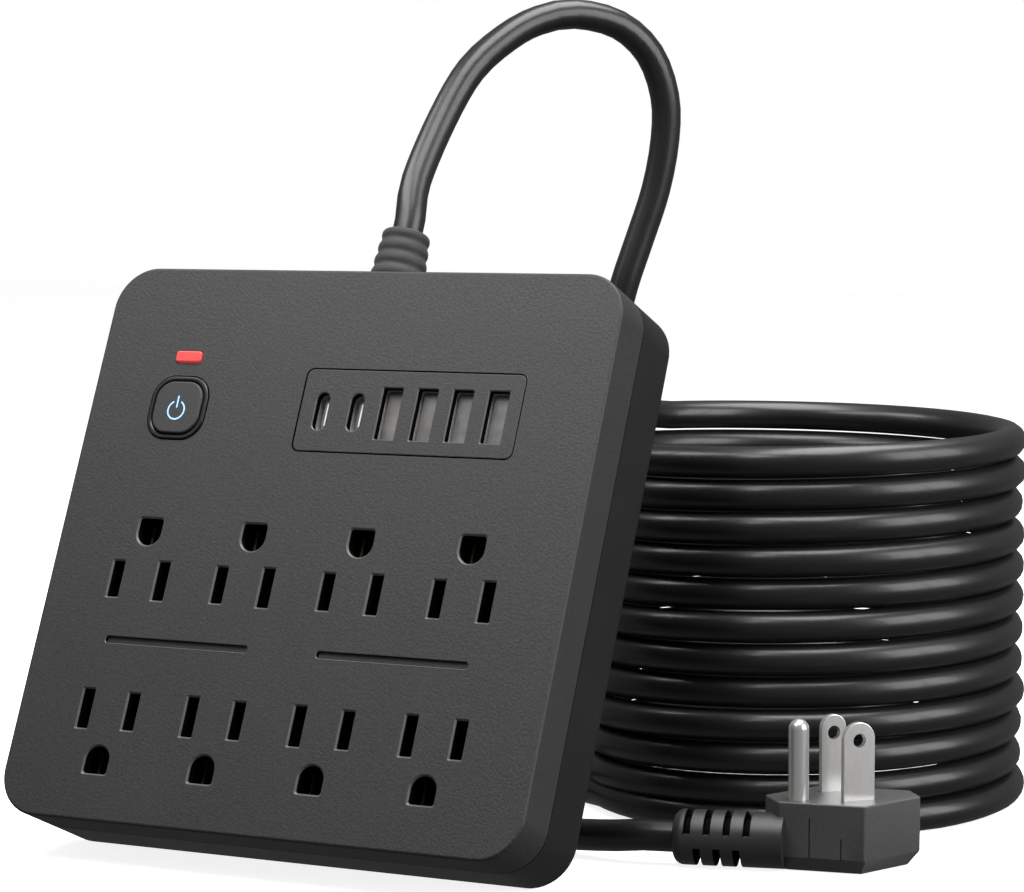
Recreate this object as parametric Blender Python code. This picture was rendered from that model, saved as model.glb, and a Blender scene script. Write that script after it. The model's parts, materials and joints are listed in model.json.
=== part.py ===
"""Surge protector with eight outlets, six USB ports, a push switch and a coiled cord.

The housing leans back on its lower rear edge. Its pieces are modelled in the housing's own
frame (x to the right, y up the face, z out of the face) and hang on one tilted empty.
The plug's pieces hang on a second empty. Sizes are in millimetres until they reach Blender.
"""

import math

import bmesh
import bpy
from mathutils import Euler, Matrix, Vector

MM = 0.001
GAP = 0.3  # clearance that neighbouring pieces keep

# Housing
WIDTH = 138.0
HEIGHT = 136.5
DEPTH = 28.0
CORNER_RADIUS = 10.5
WALL = 2.5
SEAM_DEPTH = 12.0  # from the face to the joint between the two covers
FACE_CHAMFER = 0.7
BACK_ROUND = 1.8
LEAN = math.radians(23.6)
CORNER_STEPS = 8

# Outlets: two rows of four, to the usual three-pin pattern
OUTLET_COLUMNS = 4
OUTLET_PITCH = 28.9
OUTLET_CENTRE_X = -0.5
UPPER_ROW_Y = -10.4
LOWER_ROW_Y = -42.0
BLADE_SPACING = 12.7
GROUND_OFFSET = 11.9
SLOT_WIDTH = 3.0
HOT_SLOT_HEIGHT = 8.8
NEUTRAL_SLOT_HEIGHT = 9.4
GROUND_HOLE_WIDTH = 6.4
GROUND_HOLE_HEIGHT = 6.6
HOLE_CHAMFER = 0.4

# Shallow grooves in the face, between the rows
GROOVE_Y = -25.2
GROOVE_LENGTH = 39.2
GROOVE_HEIGHT = 1.7
GROOVE_DEPTH = 0.8
GROOVE_CENTRES_X = (-29.5, 28.2)

# Contact block and bus bars behind the outlets
BLOCK_MARGIN = 10.6
BLOCK_THICKNESS = 9.7
BLOCK_EDGE_Y = 6.5
CHANNEL_CLEARANCE = 0.8
STRIP_THICKNESS = 0.8
STRIP_WIDTH = 4.5
LEAF_THICKNESS = 0.6
LEAF_ROOT = 0.6
LEAF_REACH = 7.6
BLADE_GRIP = 2.2
PIN_GRIP = 5.2

# USB panel
PANEL_X = 19.2
PANEL_Y = 33.2
PANEL_WIDTH = 58.0
PANEL_HEIGHT = 20.2
PANEL_RADIUS = 1.8
PANEL_FLANGE = 2.4
PANEL_SKIN = 1.8
PANEL_THICKNESS = 4.2
PORT_Y = 32.9
USB_C_X = (-4.1, 5.2)
USB_A_X = (14.1, 23.4, 32.7, 42.0)
USB_C_SIZE = (3.4, 9.2)
USB_A_SIZE = (5.2, 12.6)
USB_SHEET = 0.35
USB_DEPTH = 12.6
USB_C_TONGUE = (0.8, 6.7)
USB_A_TONGUE = (1.8, 11.0)
TONGUE_RECESS = 1.5
USB_BOARD_MARGIN = 3.0
BOARD_THICKNESS = 1.6

# Push switch
BUTTON_X = -43.7
BUTTON_Y = 32.5
BUTTON_SIZE = 13.0
BUTTON_RADIUS = 3.2
BUTTON_PROUD = 0.7
BUTTON_DEPTH = 4.2
BUTTON_CLEARANCE = 0.35
BEZEL_WALL = 1.0
BEZEL_PROUD = 0.4
BEZEL_DEPTH = 5.0
BEZEL_FLANGE = 2.0
ICON_RADIUS = 3.0
ICON_DROP = 0.6  # the icon sits this far below the cap's centre
SWITCH_SIZE = 15.2
SWITCH_DEPTH = 13.0
SWITCH_WALL = 1.2
PLUNGER_POST = 4.0
PLUNGER_FLANGE = 9.6
PLUNGER_LENGTH = 5.8
FLANGE_THICKNESS = 1.5
SPRING_RADIUS = 2.5
SPRING_WIRE = 0.35
SPRING_TURNS = 4
BRIDGE_SIZE = (9.0, 2.0, 0.8)
BRIDGE_OFFSET = 4.1

# Indicator
LENS_X = -43.8
LENS_Y = 45.4
LENS_WIDTH = 7.1
LENS_HEIGHT = 2.8
LENS_PROUD = 0.6
LENS_DEPTH = 3.2
LED_RADIUS = 1.2
LED_BASE_RADIUS = 1.6

# Main board and what it carries
BOARD_BOTTOM_Y = 11.0
BOARD_TOP_Y = 56.0
BOARD_HALF_WIDTH = 54.0
BOARD_CLEARANCE = 3.1  # room behind the board for the wires
VARISTOR_X = (10.0, 24.0, 38.0)
VARISTOR_Y = 50.5
VARISTOR_RADIUS = 6.2
VARISTOR_THICKNESS = 5.0
TRANSFORMER_SIZE = (19.0, 19.0, 12.5)
TRANSFORMER_PLACE = (-23.0, 32.0)
CAPACITOR_SIZE = (16.0, 6.5, 11.0)
CAPACITOR_PLACE = (-43.0, 52.0)
FUSE_RADIUS = 1.8
FUSE_LENGTH = 11.0
FUSE_PLACE = (-22.0, 50.0)
WIRE_RADIUS = 0.9

# Screws, feet and keyholes
BOSS_INSET_X = 8.5
BOSS_INSET_Y = 8.25
BOSS_RADIUS = 4.4
PILOT_BOSS_RADIUS = 3.5
SCREW_RADIUS = 1.5
SCREW_HEAD_RADIUS = 2.75
SCREW_HEAD_HEIGHT = 1.8
COUNTERBORE_DEPTH = 3.5
SCREW_TIP_DEPTH = 6.0
FOOT_RADIUS = 5.6
FOOT_THICKNESS = 1.7
FOOT_POCKET = 0.8
FOOT_X = 48.0
FOOT_Y = 51.0
KEYHOLE_X = 40.0
KEYHOLE_Y = -20.0
KEYHOLE_RADIUS = 4.0
KEYHOLE_SLOT = 4.2
KEYHOLE_RISE = 9.0

# Cord and its gland
CORD_DIAMETER = 7.2
GLAND_DEPTH = 14.0  # from the face to the cord's axis
GLAND_LENGTH = 15.0
GLAND_BASE_RADIUS = 6.9
GLAND_TIP_RADIUS = 5.8
GLAND_RIBS = 4
GLAND_RIB_DEPTH = 0.35
GLAND_NECK_RADIUS = 4.8
GLAND_FLANGE_RADIUS = 7.6
GLAND_FLANGE_THICKNESS = 1.6

COIL_X = 67.6
COIL_Y = 115.0
COIL_RADIUS = 52.5
COIL_HEIGHT = 92.6
COIL_STEPS = 64

# From the gland over the arch to the coil's top, and from the coil's foot to the plug
LOOP_ROUTE = (
    (-1.2, 40.1, 156.7), (-0.2, 51.1, 171.7), (2.6, 60.5, 183.9), (7.6, 69.4, 191.9),
    (12.6, 77.0, 196.4), (18.7, 84.7, 198.2), (26.2, 94.0, 195.8), (31.6, 100.7, 188.8),
    (33.8, 105.0, 178.3), (33.3, 106.3, 167.5), (31.0, 105.6, 154.5), (27.2, 103.3, 141.0),
    (24.2, 101.2, 130.2), (21.2, 101.2, 118.6), (19.4, 104.3, 111.0), (18.0, 109.0, 104.9),
    (17.1, 115.6, 100.0), (16.8, 124.8, 96.7),
)
LEAD_ROUTE = (
    (14.5, 86.4, 3.7), (7.7, 87.1, 3.7), (-6.0, 84.0, 3.7), (-17.5, 74.6, 3.7),
    (-24.0, 60.5, 3.7), (-23.2, 45.0, 3.7), (-15.5, 32.8, 3.7), (-3.5, 25.2, 3.7),
    (10.0, 23.2, 3.7), (23.0, 24.2, 3.7), (35.0, 25.2, 3.8), (45.0, 24.6, 4.2),
    (54.0, 22.6, 5.0), (62.5, 20.9, 5.9),
)

# Plug
PLUG_X = 111.2
PLUG_Y = 40.9
PLUG_TURN = math.radians(50.0)
PLUG_OUTLINE = (
    (-16.3, 8.4), (-17.6, -0.8), (-2.2, -14.3), (15.6, -7.6), (17.0, 0.2), (0.8, 14.0),
)
PLUG_HEIGHT = 16.0
PLUG_FOOT_HEIGHT = 3.5
PLUG_FOOT_INSET = 2.6
PLUG_EDGE = 0.5
PIN_POCKET = 6.0
BLADE_THICKNESS = 1.5
HOT_BLADE_WIDTH = 6.35
NEUTRAL_BLADE_WIDTH = 7.94
BLADE_LENGTH = 18.0
BLADE_HOLE_RADIUS = 1.6
BLADE_HOLE_DROP = 4.2
PIN_RADIUS = 2.37
PIN_LENGTH = 18.6
RELIEF_RADIUS = 6.4
RELIEF_ROUND = 2.4
RELIEF_TURN = math.radians(144.0)  # the way the cord leaves, in the plug's frame
RELIEF_THROUGH = (-18.3, 2.5)
RELIEF_OUTER = 21.7
RELIEF_INNER = -4.0
RELIEF_HEIGHT = 6.6
RELIEF_SLOTS = 4
RELIEF_SLOT_WIDTH = 1.7
RELIEF_SLOT_DEPTH = 2.2
RELIEF_SLOT_PITCH = 4.6

PALETTE = {
    "shell": ((0.062, 0.062, 0.064), 0.62, 0.0),
    "trim": ((0.016, 0.016, 0.017), 0.4, 0.0),
    "insulator": ((0.02, 0.02, 0.021), 0.7, 0.0),
    "rubber": ((0.045, 0.045, 0.047), 0.75, 0.0),
    "cord": ((0.018, 0.018, 0.019), 0.32, 0.0),
    "nickel": ((0.66, 0.65, 0.63), 0.2, 1.0),
    "brass": ((0.74, 0.56, 0.28), 0.32, 1.0),
    "steel": ((0.46, 0.46, 0.47), 0.35, 1.0),
    "board": ((0.02, 0.16, 0.07), 0.45, 0.0),
    "varistor": ((0.03, 0.12, 0.42), 0.5, 0.0),
    "tape": ((0.65, 0.5, 0.08), 0.5, 0.0),
    "red": ((0.55, 0.02, 0.02), 0.25, 0.0),
    "light": ((0.55, 0.75, 0.95), 0.3, 0.0),
    "black_wire": ((0.02, 0.02, 0.02), 0.45, 0.0),
    "white_wire": ((0.75, 0.75, 0.73), 0.45, 0.0),
    "green_wire": ((0.03, 0.32, 0.08), 0.45, 0.0),
}


def clear_scene():
    for item in list(bpy.data.objects):
        bpy.data.objects.remove(item, do_unlink=True)


def make_material(name):
    colour, roughness, metallic = PALETTE[name]
    found = bpy.data.materials.get(name)
    if found:
        return found
    material = bpy.data.materials.new(name)
    material.use_nodes = True
    shader = material.node_tree.nodes["Principled BSDF"]
    shader.inputs["Base Color"].default_value = (*colour, 1.0)
    shader.inputs["Roughness"].default_value = roughness
    shader.inputs["Metallic"].default_value = metallic
    return material


def add_object(name, data, finish, parent, place=(0.0, 0.0, 0.0), turn=(0.0, 0.0, 0.0)):
    item = bpy.data.objects.new(name, data)
    bpy.context.scene.collection.objects.link(item)
    item.parent = parent
    item.location = Vector(place) * MM
    item.rotation_euler = turn
    if finish:
        data.materials.append(make_material(finish))
    return item


def add_empty(name, place, turn):
    return add_object(name, None, None, None, place, turn)


def mesh_from(name, shape, sharp_degrees=35.0):
    bmesh.ops.recalc_face_normals(shape, faces=shape.faces)
    bmesh.ops.scale(shape, vec=(MM, MM, MM), verts=shape.verts)
    mesh = bpy.data.meshes.new(name)
    shape.to_mesh(mesh)
    shape.free()
    mesh.shade_smooth()
    mesh.set_sharp_from_angle(angle=math.radians(sharp_degrees))
    return mesh


# ---------------------------------------------------------------- shapes


def rounded_outline(width, height, radius, steps=CORNER_STEPS, centre=(0.0, 0.0)):
    """Anticlockwise outline of a rectangle with round corners."""
    across = width / 2 - radius
    up = height / 2 - radius
    corners = ((across, up, 0), (-across, up, 90), (-across, -up, 180), (across, -up, 270))
    points = []
    for x, y, start in corners:
        for step in range(steps + 1):
            angle = math.radians(start + 90 * step / steps)
            point = (centre[0] + x + radius * math.cos(angle), centre[1] + y + radius * math.sin(angle))
            points.append(point)
    return points


def circle_outline(radius, steps, centre=(0.0, 0.0)):
    turn = 2 * math.pi / steps
    return [
        (centre[0] + radius * math.cos(turn * k), centre[1] + radius * math.sin(turn * k))
        for k in range(steps)
    ]


def ground_outline(width, height, up, centre):
    """A round-bottomed hole whose flat side faces away from the blades."""
    radius = width / 2
    flat = height - radius
    points = [(radius, flat * 0.8), (radius * 0.8, flat), (-radius * 0.8, flat), (-radius, flat * 0.8)]
    for step in range(9):
        angle = math.pi + math.pi * step / 8
        points.append((radius * math.cos(angle), radius * math.sin(angle)))
    shift = (height - 2 * radius) / 2
    return [(centre[0] + up * x, centre[1] + up * (y - shift)) for x, y in points]


def grown(outline, amount):
    """The outline moved outwards by an amount, with each corner mitred."""
    count = len(outline)
    result = []
    for index in range(count):
        before = Vector(outline[index - 1])
        here = Vector(outline[index])
        after = Vector(outline[(index + 1) % count])
        first = (here - before).normalized()
        second = (after - here).normalized()
        normal = Vector((first.y + second.y, -first.x - second.x))
        normal.normalize()
        stretch = 1.0 / max(0.5, normal.dot(Vector((first.y, -first.x))))
        result.append(tuple(here + normal * amount * stretch))
    return result


def add_loft(shape, rings):
    """Adds one closed solid through rings, each an outline and its height."""
    rows = []
    for outline, z in rings:
        rows.append([shape.verts.new((x, y, z)) for x, y in outline])
    for lower, upper in zip(rows, rows[1:]):
        count = len(lower)
        for index in range(count):
            after = (index + 1) % count
            shape.faces.new((lower[index], lower[after], upper[after], upper[index]))
    shape.faces.new(rows[0])
    shape.faces.new(rows[-1])


def loft_mesh(name, *solids, sharp_degrees=35.0):
    shape = bmesh.new()
    for rings in solids:
        add_loft(shape, rings)
    return mesh_from(name, shape, sharp_degrees)


def prism(outline, low, high):
    return [(outline, low), (outline, high)]


def box_rings(low, high):
    x0, y0, z0 = low
    x1, y1, z1 = high
    return prism([(x0, y0), (x1, y0), (x1, y1), (x0, y1)], z0, z1)


def soft_box_rings(centre, size, radius, edge, low, high):
    """A box with round upright corners and a small chamfer at both ends."""
    width, height = size
    outer = rounded_outline(width, height, radius, 4, centre)
    inner = rounded_outline(width - 2 * edge, height - 2 * edge, radius - edge / 2, 4, centre)
    return [(inner, low), (outer, low + edge), (outer, high - edge), (inner, high)]


def lathe_rings(profile, steps):
    return [(circle_outline(radius, steps), z) for radius, z in profile]


def add_modifier(item, other, operation):
    modifier = item.modifiers.new(operation.title(), "BOOLEAN")
    modifier.operation = operation
    modifier.object = other
    modifier.solver = "EXACT"


def combine(item, operation, *solids, name="tool"):
    """Cuts the given solids from the item, or joins them to it."""
    helper = add_object(f"{item.name}_{name}", loft_mesh(name, *solids), None, item.parent)
    helper.location = item.location
    helper.rotation_euler = item.rotation_euler
    helper.hide_render = True
    helper.display_type = "WIRE"
    add_modifier(item, helper, operation)


def smooth_route(points, spacing):
    """Points at an even spacing on a smooth curve through the route's own points."""
    knots = [Vector(point) for point in points]
    knots = [knots[0] * 2 - knots[1], *knots, knots[-1] * 2 - knots[-2]]
    dense = []
    for index in range(1, len(knots) - 2):
        a, b, c, d = knots[index - 1 : index + 3]
        for step in range(12):
            t = step / 12
            dense.append(
                0.5 * (2 * b + (c - a) * t + (2 * a - 5 * b + 4 * c - d) * t * t
                       + (3 * b - a - 3 * c + d) * t ** 3)
            )
    dense.append(knots[-2])
    total = sum((q - p).length for p, q in zip(dense, dense[1:]))
    count = max(2, round(total / spacing))
    result = [dense[0]]
    walked = 0.0
    for p, q in zip(dense, dense[1:]):
        step = (q - p).length
        while len(result) < count and walked + step >= total * len(result) / count:
            share = (total * len(result) / count - walked) / step
            result.append(p.lerp(q, share))
        walked += step
    result.append(dense[-1])
    return result


def add_tube(name, points, radius, finish, parent, sides=2):
    curve = bpy.data.curves.new(name, "CURVE")
    curve.dimensions = "3D"
    curve.bevel_depth = radius * MM
    curve.bevel_resolution = sides
    curve.use_fill_caps = True
    spline = curve.splines.new("POLY")
    spline.points.add(len(points) - 1)
    for target, point in zip(spline.points, points):
        target.co = (*(Vector(point) * MM), 1.0)
    return add_object(name, curve, finish, parent)


# ---------------------------------------------------------------- placing the housing


def housing_profile():
    """(inset, depth) of the housing's outline from its face to its back."""
    arc = [math.radians(angle) for angle in (0, 30, 60, 90)]
    back = [
        (BACK_ROUND * (1 - math.cos(angle)), DEPTH - BACK_ROUND * (1 - math.sin(angle)))
        for angle in arc
    ]
    return [(FACE_CHAMFER, 0.0), (0.0, FACE_CHAMFER), *back]


def housing_frame():
    """The tilted empty, placed so that the housing stands on the floor, centred over the origin."""
    tilt = Euler((math.pi / 2 - LEAN, 0.0, 0.0)).to_matrix()
    spots = []
    for inset, depth in housing_profile():
        for side in (-1, 1):
            spots.append(tilt @ Vector((0.0, side * (HEIGHT / 2 - inset), -depth)))
    back = (min(spot.y for spot in spots) + max(spot.y for spot in spots)) / 2
    low = min(spot.z for spot in spots)
    return add_empty("housing_frame", (0.0, -back, -low), (math.pi / 2 - LEAN, 0.0, 0.0))


def outlet_centres():
    """(x, y, way) of each outlet, where way is 1 with the ground hole above the blades, else -1."""
    centres = []
    for row, way in ((UPPER_ROW_Y, 1), (LOWER_ROW_Y, -1)):
        for column in range(OUTLET_COLUMNS):
            x = OUTLET_CENTRE_X + (column - (OUTLET_COLUMNS - 1) / 2) * OUTLET_PITCH
            centres.append((x, row, way))
    return centres


def boss_centres():
    across = WIDTH / 2 - BOSS_INSET_X
    up = HEIGHT / 2 - BOSS_INSET_Y
    return [(x, y) for y in (-up, up) for x in (-across, across)]


def gland_hole():
    """A cutter along y through the top wall, for the gland's neck."""
    return (0.0, HEIGHT / 2, -GLAND_DEPTH), GLAND_NECK_RADIUS + GAP


def cut_gland_hole(item):
    place, radius = gland_hole()
    reach = WALL + 3.0
    rings = lathe_rings([(radius, -reach), (radius, reach)], 24)
    helper = add_object(f"{item.name}_gland_hole", loft_mesh("gland_hole", rings), None, item.parent)
    helper.location = Vector(place) * MM
    helper.rotation_euler = (math.pi / 2, 0.0, 0.0)
    helper.hide_render = True
    helper.display_type = "WIRE"
    add_modifier(item, helper, "DIFFERENCE")


# ---------------------------------------------------------------- covers


def outlet_cutters():
    """Cutters for every slot and ground hole, with a chamfer where they break the face."""
    solids = []

    def add(outline):
        solids.append([
            (outline, -WALL - 2.0),
            (outline, -HOLE_CHAMFER),
            (grown(outline, HOLE_CHAMFER + 0.5), 0.5),
        ])

    for x, y, way in outlet_centres():
        for side, height in ((-1, HOT_SLOT_HEIGHT), (1, NEUTRAL_SLOT_HEIGHT)):
            centre = (x + way * side * BLADE_SPACING / 2, y)
            add(rounded_outline(SLOT_WIDTH, height, 0.3, 1, centre))
        add(ground_outline(GROUND_HOLE_WIDTH, GROUND_HOLE_HEIGHT, way, (x, y + way * GROUND_OFFSET)))
    return solids


def build_front_cover(frame):
    low = -SEAM_DEPTH + GAP / 2
    edge = rounded_outline(WIDTH - 2 * FACE_CHAMFER, HEIGHT - 2 * FACE_CHAMFER, CORNER_RADIUS - FACE_CHAMFER)
    outer = rounded_outline(WIDTH, HEIGHT, CORNER_RADIUS)
    item = add_object(
        "front_cover", loft_mesh("front_cover", [(outer, low), (outer, -FACE_CHAMFER), (edge, 0.0)]),
        "shell", frame,
    )
    inner = rounded_outline(WIDTH - 2 * WALL, HEIGHT - 2 * WALL, CORNER_RADIUS - WALL)
    combine(item, "DIFFERENCE", prism(inner, low - 2.0, -WALL), name="cavity")
    bosses = []
    for centre in boss_centres():
        bosses.append(prism(circle_outline(PILOT_BOSS_RADIUS, 20, centre), low, -WALL + 0.5))
    combine(item, "UNION", *bosses, name="bosses")
    pilots = []
    for centre in boss_centres():
        pilots.append(prism(circle_outline(SCREW_RADIUS + GAP, 16, centre), low - 1.0, -SCREW_TIP_DEPTH + 1.5))
    combine(item, "DIFFERENCE", *pilots, name="pilots")
    holes = outlet_cutters()
    panel = rounded_outline(
        PANEL_WIDTH + 2 * GAP, PANEL_HEIGHT + 2 * GAP, PANEL_RADIUS + GAP, 4, (PANEL_X, PANEL_Y)
    )
    holes.append(prism(panel, -WALL - 1.0, 1.0))
    bezel = BUTTON_SIZE + 2 * (BUTTON_CLEARANCE + BEZEL_WALL + GAP)
    holes.append(prism(
        rounded_outline(bezel, bezel, BUTTON_RADIUS + BEZEL_WALL + GAP, 6, (BUTTON_X, BUTTON_Y)),
        -WALL - 1.0, 1.0,
    ))
    lens = rounded_outline(
        LENS_WIDTH + 2 * GAP, LENS_HEIGHT + 2 * GAP, LENS_HEIGHT / 2 + GAP, 6, (LENS_X, LENS_Y)
    )
    holes.append(prism(lens, -WALL - 1.0, 1.0))
    for x in GROOVE_CENTRES_X:
        holes.append(prism(
            rounded_outline(GROOVE_LENGTH, GROOVE_HEIGHT, GROOVE_HEIGHT * 0.45, 3, (x, GROOVE_Y)),
            -GROOVE_DEPTH, 1.0,
        ))
    combine(item, "DIFFERENCE", *holes, name="holes")
    cut_gland_hole(item)


def keyhole_outline(centre):
    """A round head hole with a narrow slot above it."""
    half = KEYHOLE_SLOT / 2
    start = math.asin(half / KEYHOLE_RADIUS)
    points = [(half, KEYHOLE_RISE), (-half, KEYHOLE_RISE)]
    steps = 18
    for step in range(steps + 1):
        angle = math.pi / 2 + start + (2 * math.pi - 2 * start) * step / steps
        points.append((KEYHOLE_RADIUS * math.cos(angle), KEYHOLE_RADIUS * math.sin(angle)))
    return [(centre[0] + x, centre[1] + y) for x, y in points]


def build_rear_cover(frame):
    high = -SEAM_DEPTH - GAP / 2
    rings = [(rounded_outline(WIDTH, HEIGHT, CORNER_RADIUS), high)]
    for inset, depth in housing_profile()[2:]:
        outline = rounded_outline(WIDTH - 2 * inset, HEIGHT - 2 * inset, CORNER_RADIUS - inset)
        rings.append((outline, -depth))
    item = add_object("rear_cover", loft_mesh("rear_cover", rings), "shell", frame)
    inner = rounded_outline(WIDTH - 2 * WALL, HEIGHT - 2 * WALL, CORNER_RADIUS - WALL)
    combine(item, "DIFFERENCE", prism(inner, -DEPTH + WALL, high + 2.0), name="cavity")
    bosses = []
    holes = []
    for centre in boss_centres():
        bosses.append(prism(circle_outline(BOSS_RADIUS, 20, centre), -DEPTH + WALL - 0.5, high))
        holes.append(prism(circle_outline(SCREW_RADIUS + GAP, 16, centre), -DEPTH - 1.0, high + 1.0))
    combine(item, "UNION", *bosses, name="bosses")
    combine(item, "DIFFERENCE", *holes, name="screw_holes")
    cuts = []
    for centre in boss_centres():
        bore = circle_outline(SCREW_HEAD_RADIUS + GAP, 20, centre)
        cuts.append(prism(bore, -DEPTH - 1.0, -DEPTH + COUNTERBORE_DEPTH))
    for centre in foot_centres():
        cuts.append(prism(circle_outline(FOOT_RADIUS + GAP, 28, centre), -DEPTH - 1.0, -DEPTH + FOOT_POCKET))
    for side in (-1, 1):
        outline = keyhole_outline((side * KEYHOLE_X, KEYHOLE_Y))
        cuts.append(prism(outline, -DEPTH - 1.0, -DEPTH + WALL + 1.0))
    combine(item, "DIFFERENCE", *cuts, name="back_cuts")
    cut_gland_hole(item)


def foot_centres():
    return [(x, y) for y in (-FOOT_Y, FOOT_Y) for x in (-FOOT_X, FOOT_X)]


def build_feet(frame):
    top = -DEPTH + FOOT_POCKET - GAP
    for number, (x, y) in enumerate(foot_centres(), 1):
        rings = lathe_rings(
            [(FOOT_RADIUS - 0.4, top - FOOT_THICKNESS), (FOOT_RADIUS, top - FOOT_THICKNESS + 0.4),
             (FOOT_RADIUS, top)], 28,
        )
        add_object(f"rubber_foot_{number}", loft_mesh("foot", rings), "rubber", frame, (x, y, 0.0))


def build_screws(frame):
    seat = -DEPTH + COUNTERBORE_DEPTH - GAP
    for number, (x, y) in enumerate(boss_centres(), 1):
        rings = lathe_rings(
            [(SCREW_HEAD_RADIUS - 0.4, seat - SCREW_HEAD_HEIGHT),
             (SCREW_HEAD_RADIUS, seat - SCREW_HEAD_HEIGHT + 0.5),
             (SCREW_HEAD_RADIUS, seat), (SCREW_RADIUS, seat),
             (SCREW_RADIUS, -SCREW_TIP_DEPTH - 1.5), (SCREW_RADIUS * 0.4, -SCREW_TIP_DEPTH)], 16,
        )
        add_object(f"housing_screw_{number}", loft_mesh("screw", rings), "steel", frame, (x, y, 0.0))


# ---------------------------------------------------------------- outlets' insides


def block_front():
    return -WALL - GAP


def block_back():
    return block_front() - BLOCK_THICKNESS


def block_edges():
    """The block's left, lower, right and upper edges, around the outlets' channels."""
    half = (OUTLET_COLUMNS - 1) / 2 * OUTLET_PITCH + BLOCK_MARGIN
    low = LOWER_ROW_Y - GROUND_OFFSET - BLOCK_EDGE_Y
    high = UPPER_ROW_Y + GROUND_OFFSET + BLOCK_EDGE_Y
    return OUTLET_CENTRE_X - half, low, OUTLET_CENTRE_X + half, high


def build_contact_block(frame):
    left, low, right, high = block_edges()
    outline = rounded_outline(right - left, high - low, 2.0, 3, ((left + right) / 2, (low + high) / 2))
    item = add_object(
        "contact_block", loft_mesh("contact_block", prism(outline, block_back(), block_front())),
        "insulator", frame,
    )
    channels = []
    for x, y, way in outlet_centres():
        for side in (-1, 1):
            centre = (x + side * BLADE_SPACING / 2, y)
            size = (SLOT_WIDTH + 2 * CHANNEL_CLEARANCE, NEUTRAL_SLOT_HEIGHT + 2 * CHANNEL_CLEARANCE)
            channels.append(prism(
                rounded_outline(*size, 0.3, 1, centre), block_back() - 1.0, block_front() + 1.0
            ))
        size = PIN_GRIP + 2 * (LEAF_THICKNESS + CHANNEL_CLEARANCE)
        centre = (x, y + way * GROUND_OFFSET)
        channels.append(prism(
            rounded_outline(size, size, 0.3, 1, centre), block_back() - 1.0, block_front() + 1.0
        ))
    combine(item, "DIFFERENCE", *channels, name="channels")


def strip_low_high():
    high = block_back() - GAP
    return high - STRIP_THICKNESS, high


def build_bus_bar(name, frame, row, way, pole, offset, grip):
    """A flat strip behind the block with a pair of contact leaves at each outlet."""
    low, high = strip_low_high()
    columns = [x for x, y, side in outlet_centres() if side == way]
    centres = [x + way * offset for x in columns]
    start = row + way * bar_start(pole)
    strip_y = sorted((start, start + way * STRIP_WIDTH))
    reach = grip / 2 + LEAF_THICKNESS + 1.0
    item = add_object(name, loft_mesh(name, box_rings(
        (min(centres) - reach, strip_y[0], low), (max(centres) + reach, strip_y[1], high)
    )), "brass", frame)
    leaf_y = sorted(row + way * edge for edge in leaf_span(pole))
    leaves = []
    for centre in centres:
        for side in (-1, 1):
            edges = sorted((centre + side * grip / 2, centre + side * (grip / 2 + LEAF_THICKNESS)))
            leaves.append(box_rings(
                (edges[0], leaf_y[0], low), (edges[1], leaf_y[1], low + LEAF_REACH)
            ))
    combine(item, "UNION", *leaves, name="leaves")


def leaf_span(pole):
    """Where a pole's leaves start and end, measured from the row's line towards the ground holes."""
    half = NEUTRAL_SLOT_HEIGHT / 2 - 1.2
    return {
        "hot": (-half, half - 2 * LEAF_ROOT),
        "neutral": (2 * LEAF_ROOT - half, half),
        "ground": (GROUND_OFFSET - PIN_GRIP / 2, GROUND_OFFSET + PIN_GRIP / 2 + LEAF_ROOT),
    }[pole]


def bar_start(pole):
    """Where a pole's strip starts, so that its leaves root in the strip's edge."""
    low, high = leaf_span(pole)
    return low + LEAF_ROOT - STRIP_WIDTH if pole == "hot" else high - LEAF_ROOT


def build_bus_bars(frame):
    half = BLADE_SPACING / 2
    poles = (("hot", -half, BLADE_GRIP), ("neutral", half, BLADE_GRIP), ("ground", 0.0, PIN_GRIP))
    for label, row, way in (("upper", UPPER_ROW_Y, 1), ("lower", LOWER_ROW_Y, -1)):
        for pole, offset, grip in poles:
            build_bus_bar(f"{pole}_bus_bar_{label}", frame, row, way, pole, offset, grip)


# ---------------------------------------------------------------- USB ports


def usb_ports():
    """(kind, number, x, size) of each port."""
    ports = [("c", number, x, USB_C_SIZE) for number, x in enumerate(USB_C_X, 1)]
    ports += [("a", number, x, USB_A_SIZE) for number, x in enumerate(USB_A_X, 1)]
    return ports


def port_outline(kind, size, x, grow=0.0):
    width = size[0] + 2 * grow
    height = size[1] + 2 * grow
    radius = width / 2 - 0.01 if kind == "c" else 0.35 + max(grow, 0.0) / 2
    steps = 6 if kind == "c" else 2
    return rounded_outline(width, height, radius, steps, (x, PORT_Y))


def build_usb_panel(frame):
    centre = (PANEL_X, PANEL_Y)
    flange_top = -WALL - GAP
    plate = rounded_outline(PANEL_WIDTH, PANEL_HEIGHT, PANEL_RADIUS, 4, centre)
    flange_size = (PANEL_WIDTH + 2 * PANEL_FLANGE, PANEL_HEIGHT + 2 * PANEL_FLANGE)
    flange = rounded_outline(*flange_size, PANEL_RADIUS, 4, centre)
    item = add_object("usb_panel", loft_mesh("usb_panel", [
        (flange, -PANEL_THICKNESS), (flange, flange_top), (plate, flange_top), (plate, 0.0),
    ]), "shell", frame)
    pocket = rounded_outline(PANEL_WIDTH - 3.0, PANEL_HEIGHT - 3.0, 1.0, 2, centre)
    cuts = [prism(pocket, -PANEL_THICKNESS - 1.0, -PANEL_SKIN)]
    combine(item, "DIFFERENCE", *cuts, name="pocket")
    holes = []
    for kind, number, x, size in usb_ports():
        outline = port_outline(kind, size, x)
        holes.append([
            (outline, -PANEL_SKIN - 1.0), (outline, -0.2), (grown(outline, 0.7), 0.5),
        ])
    combine(item, "DIFFERENCE", *holes, name="ports")


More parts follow.
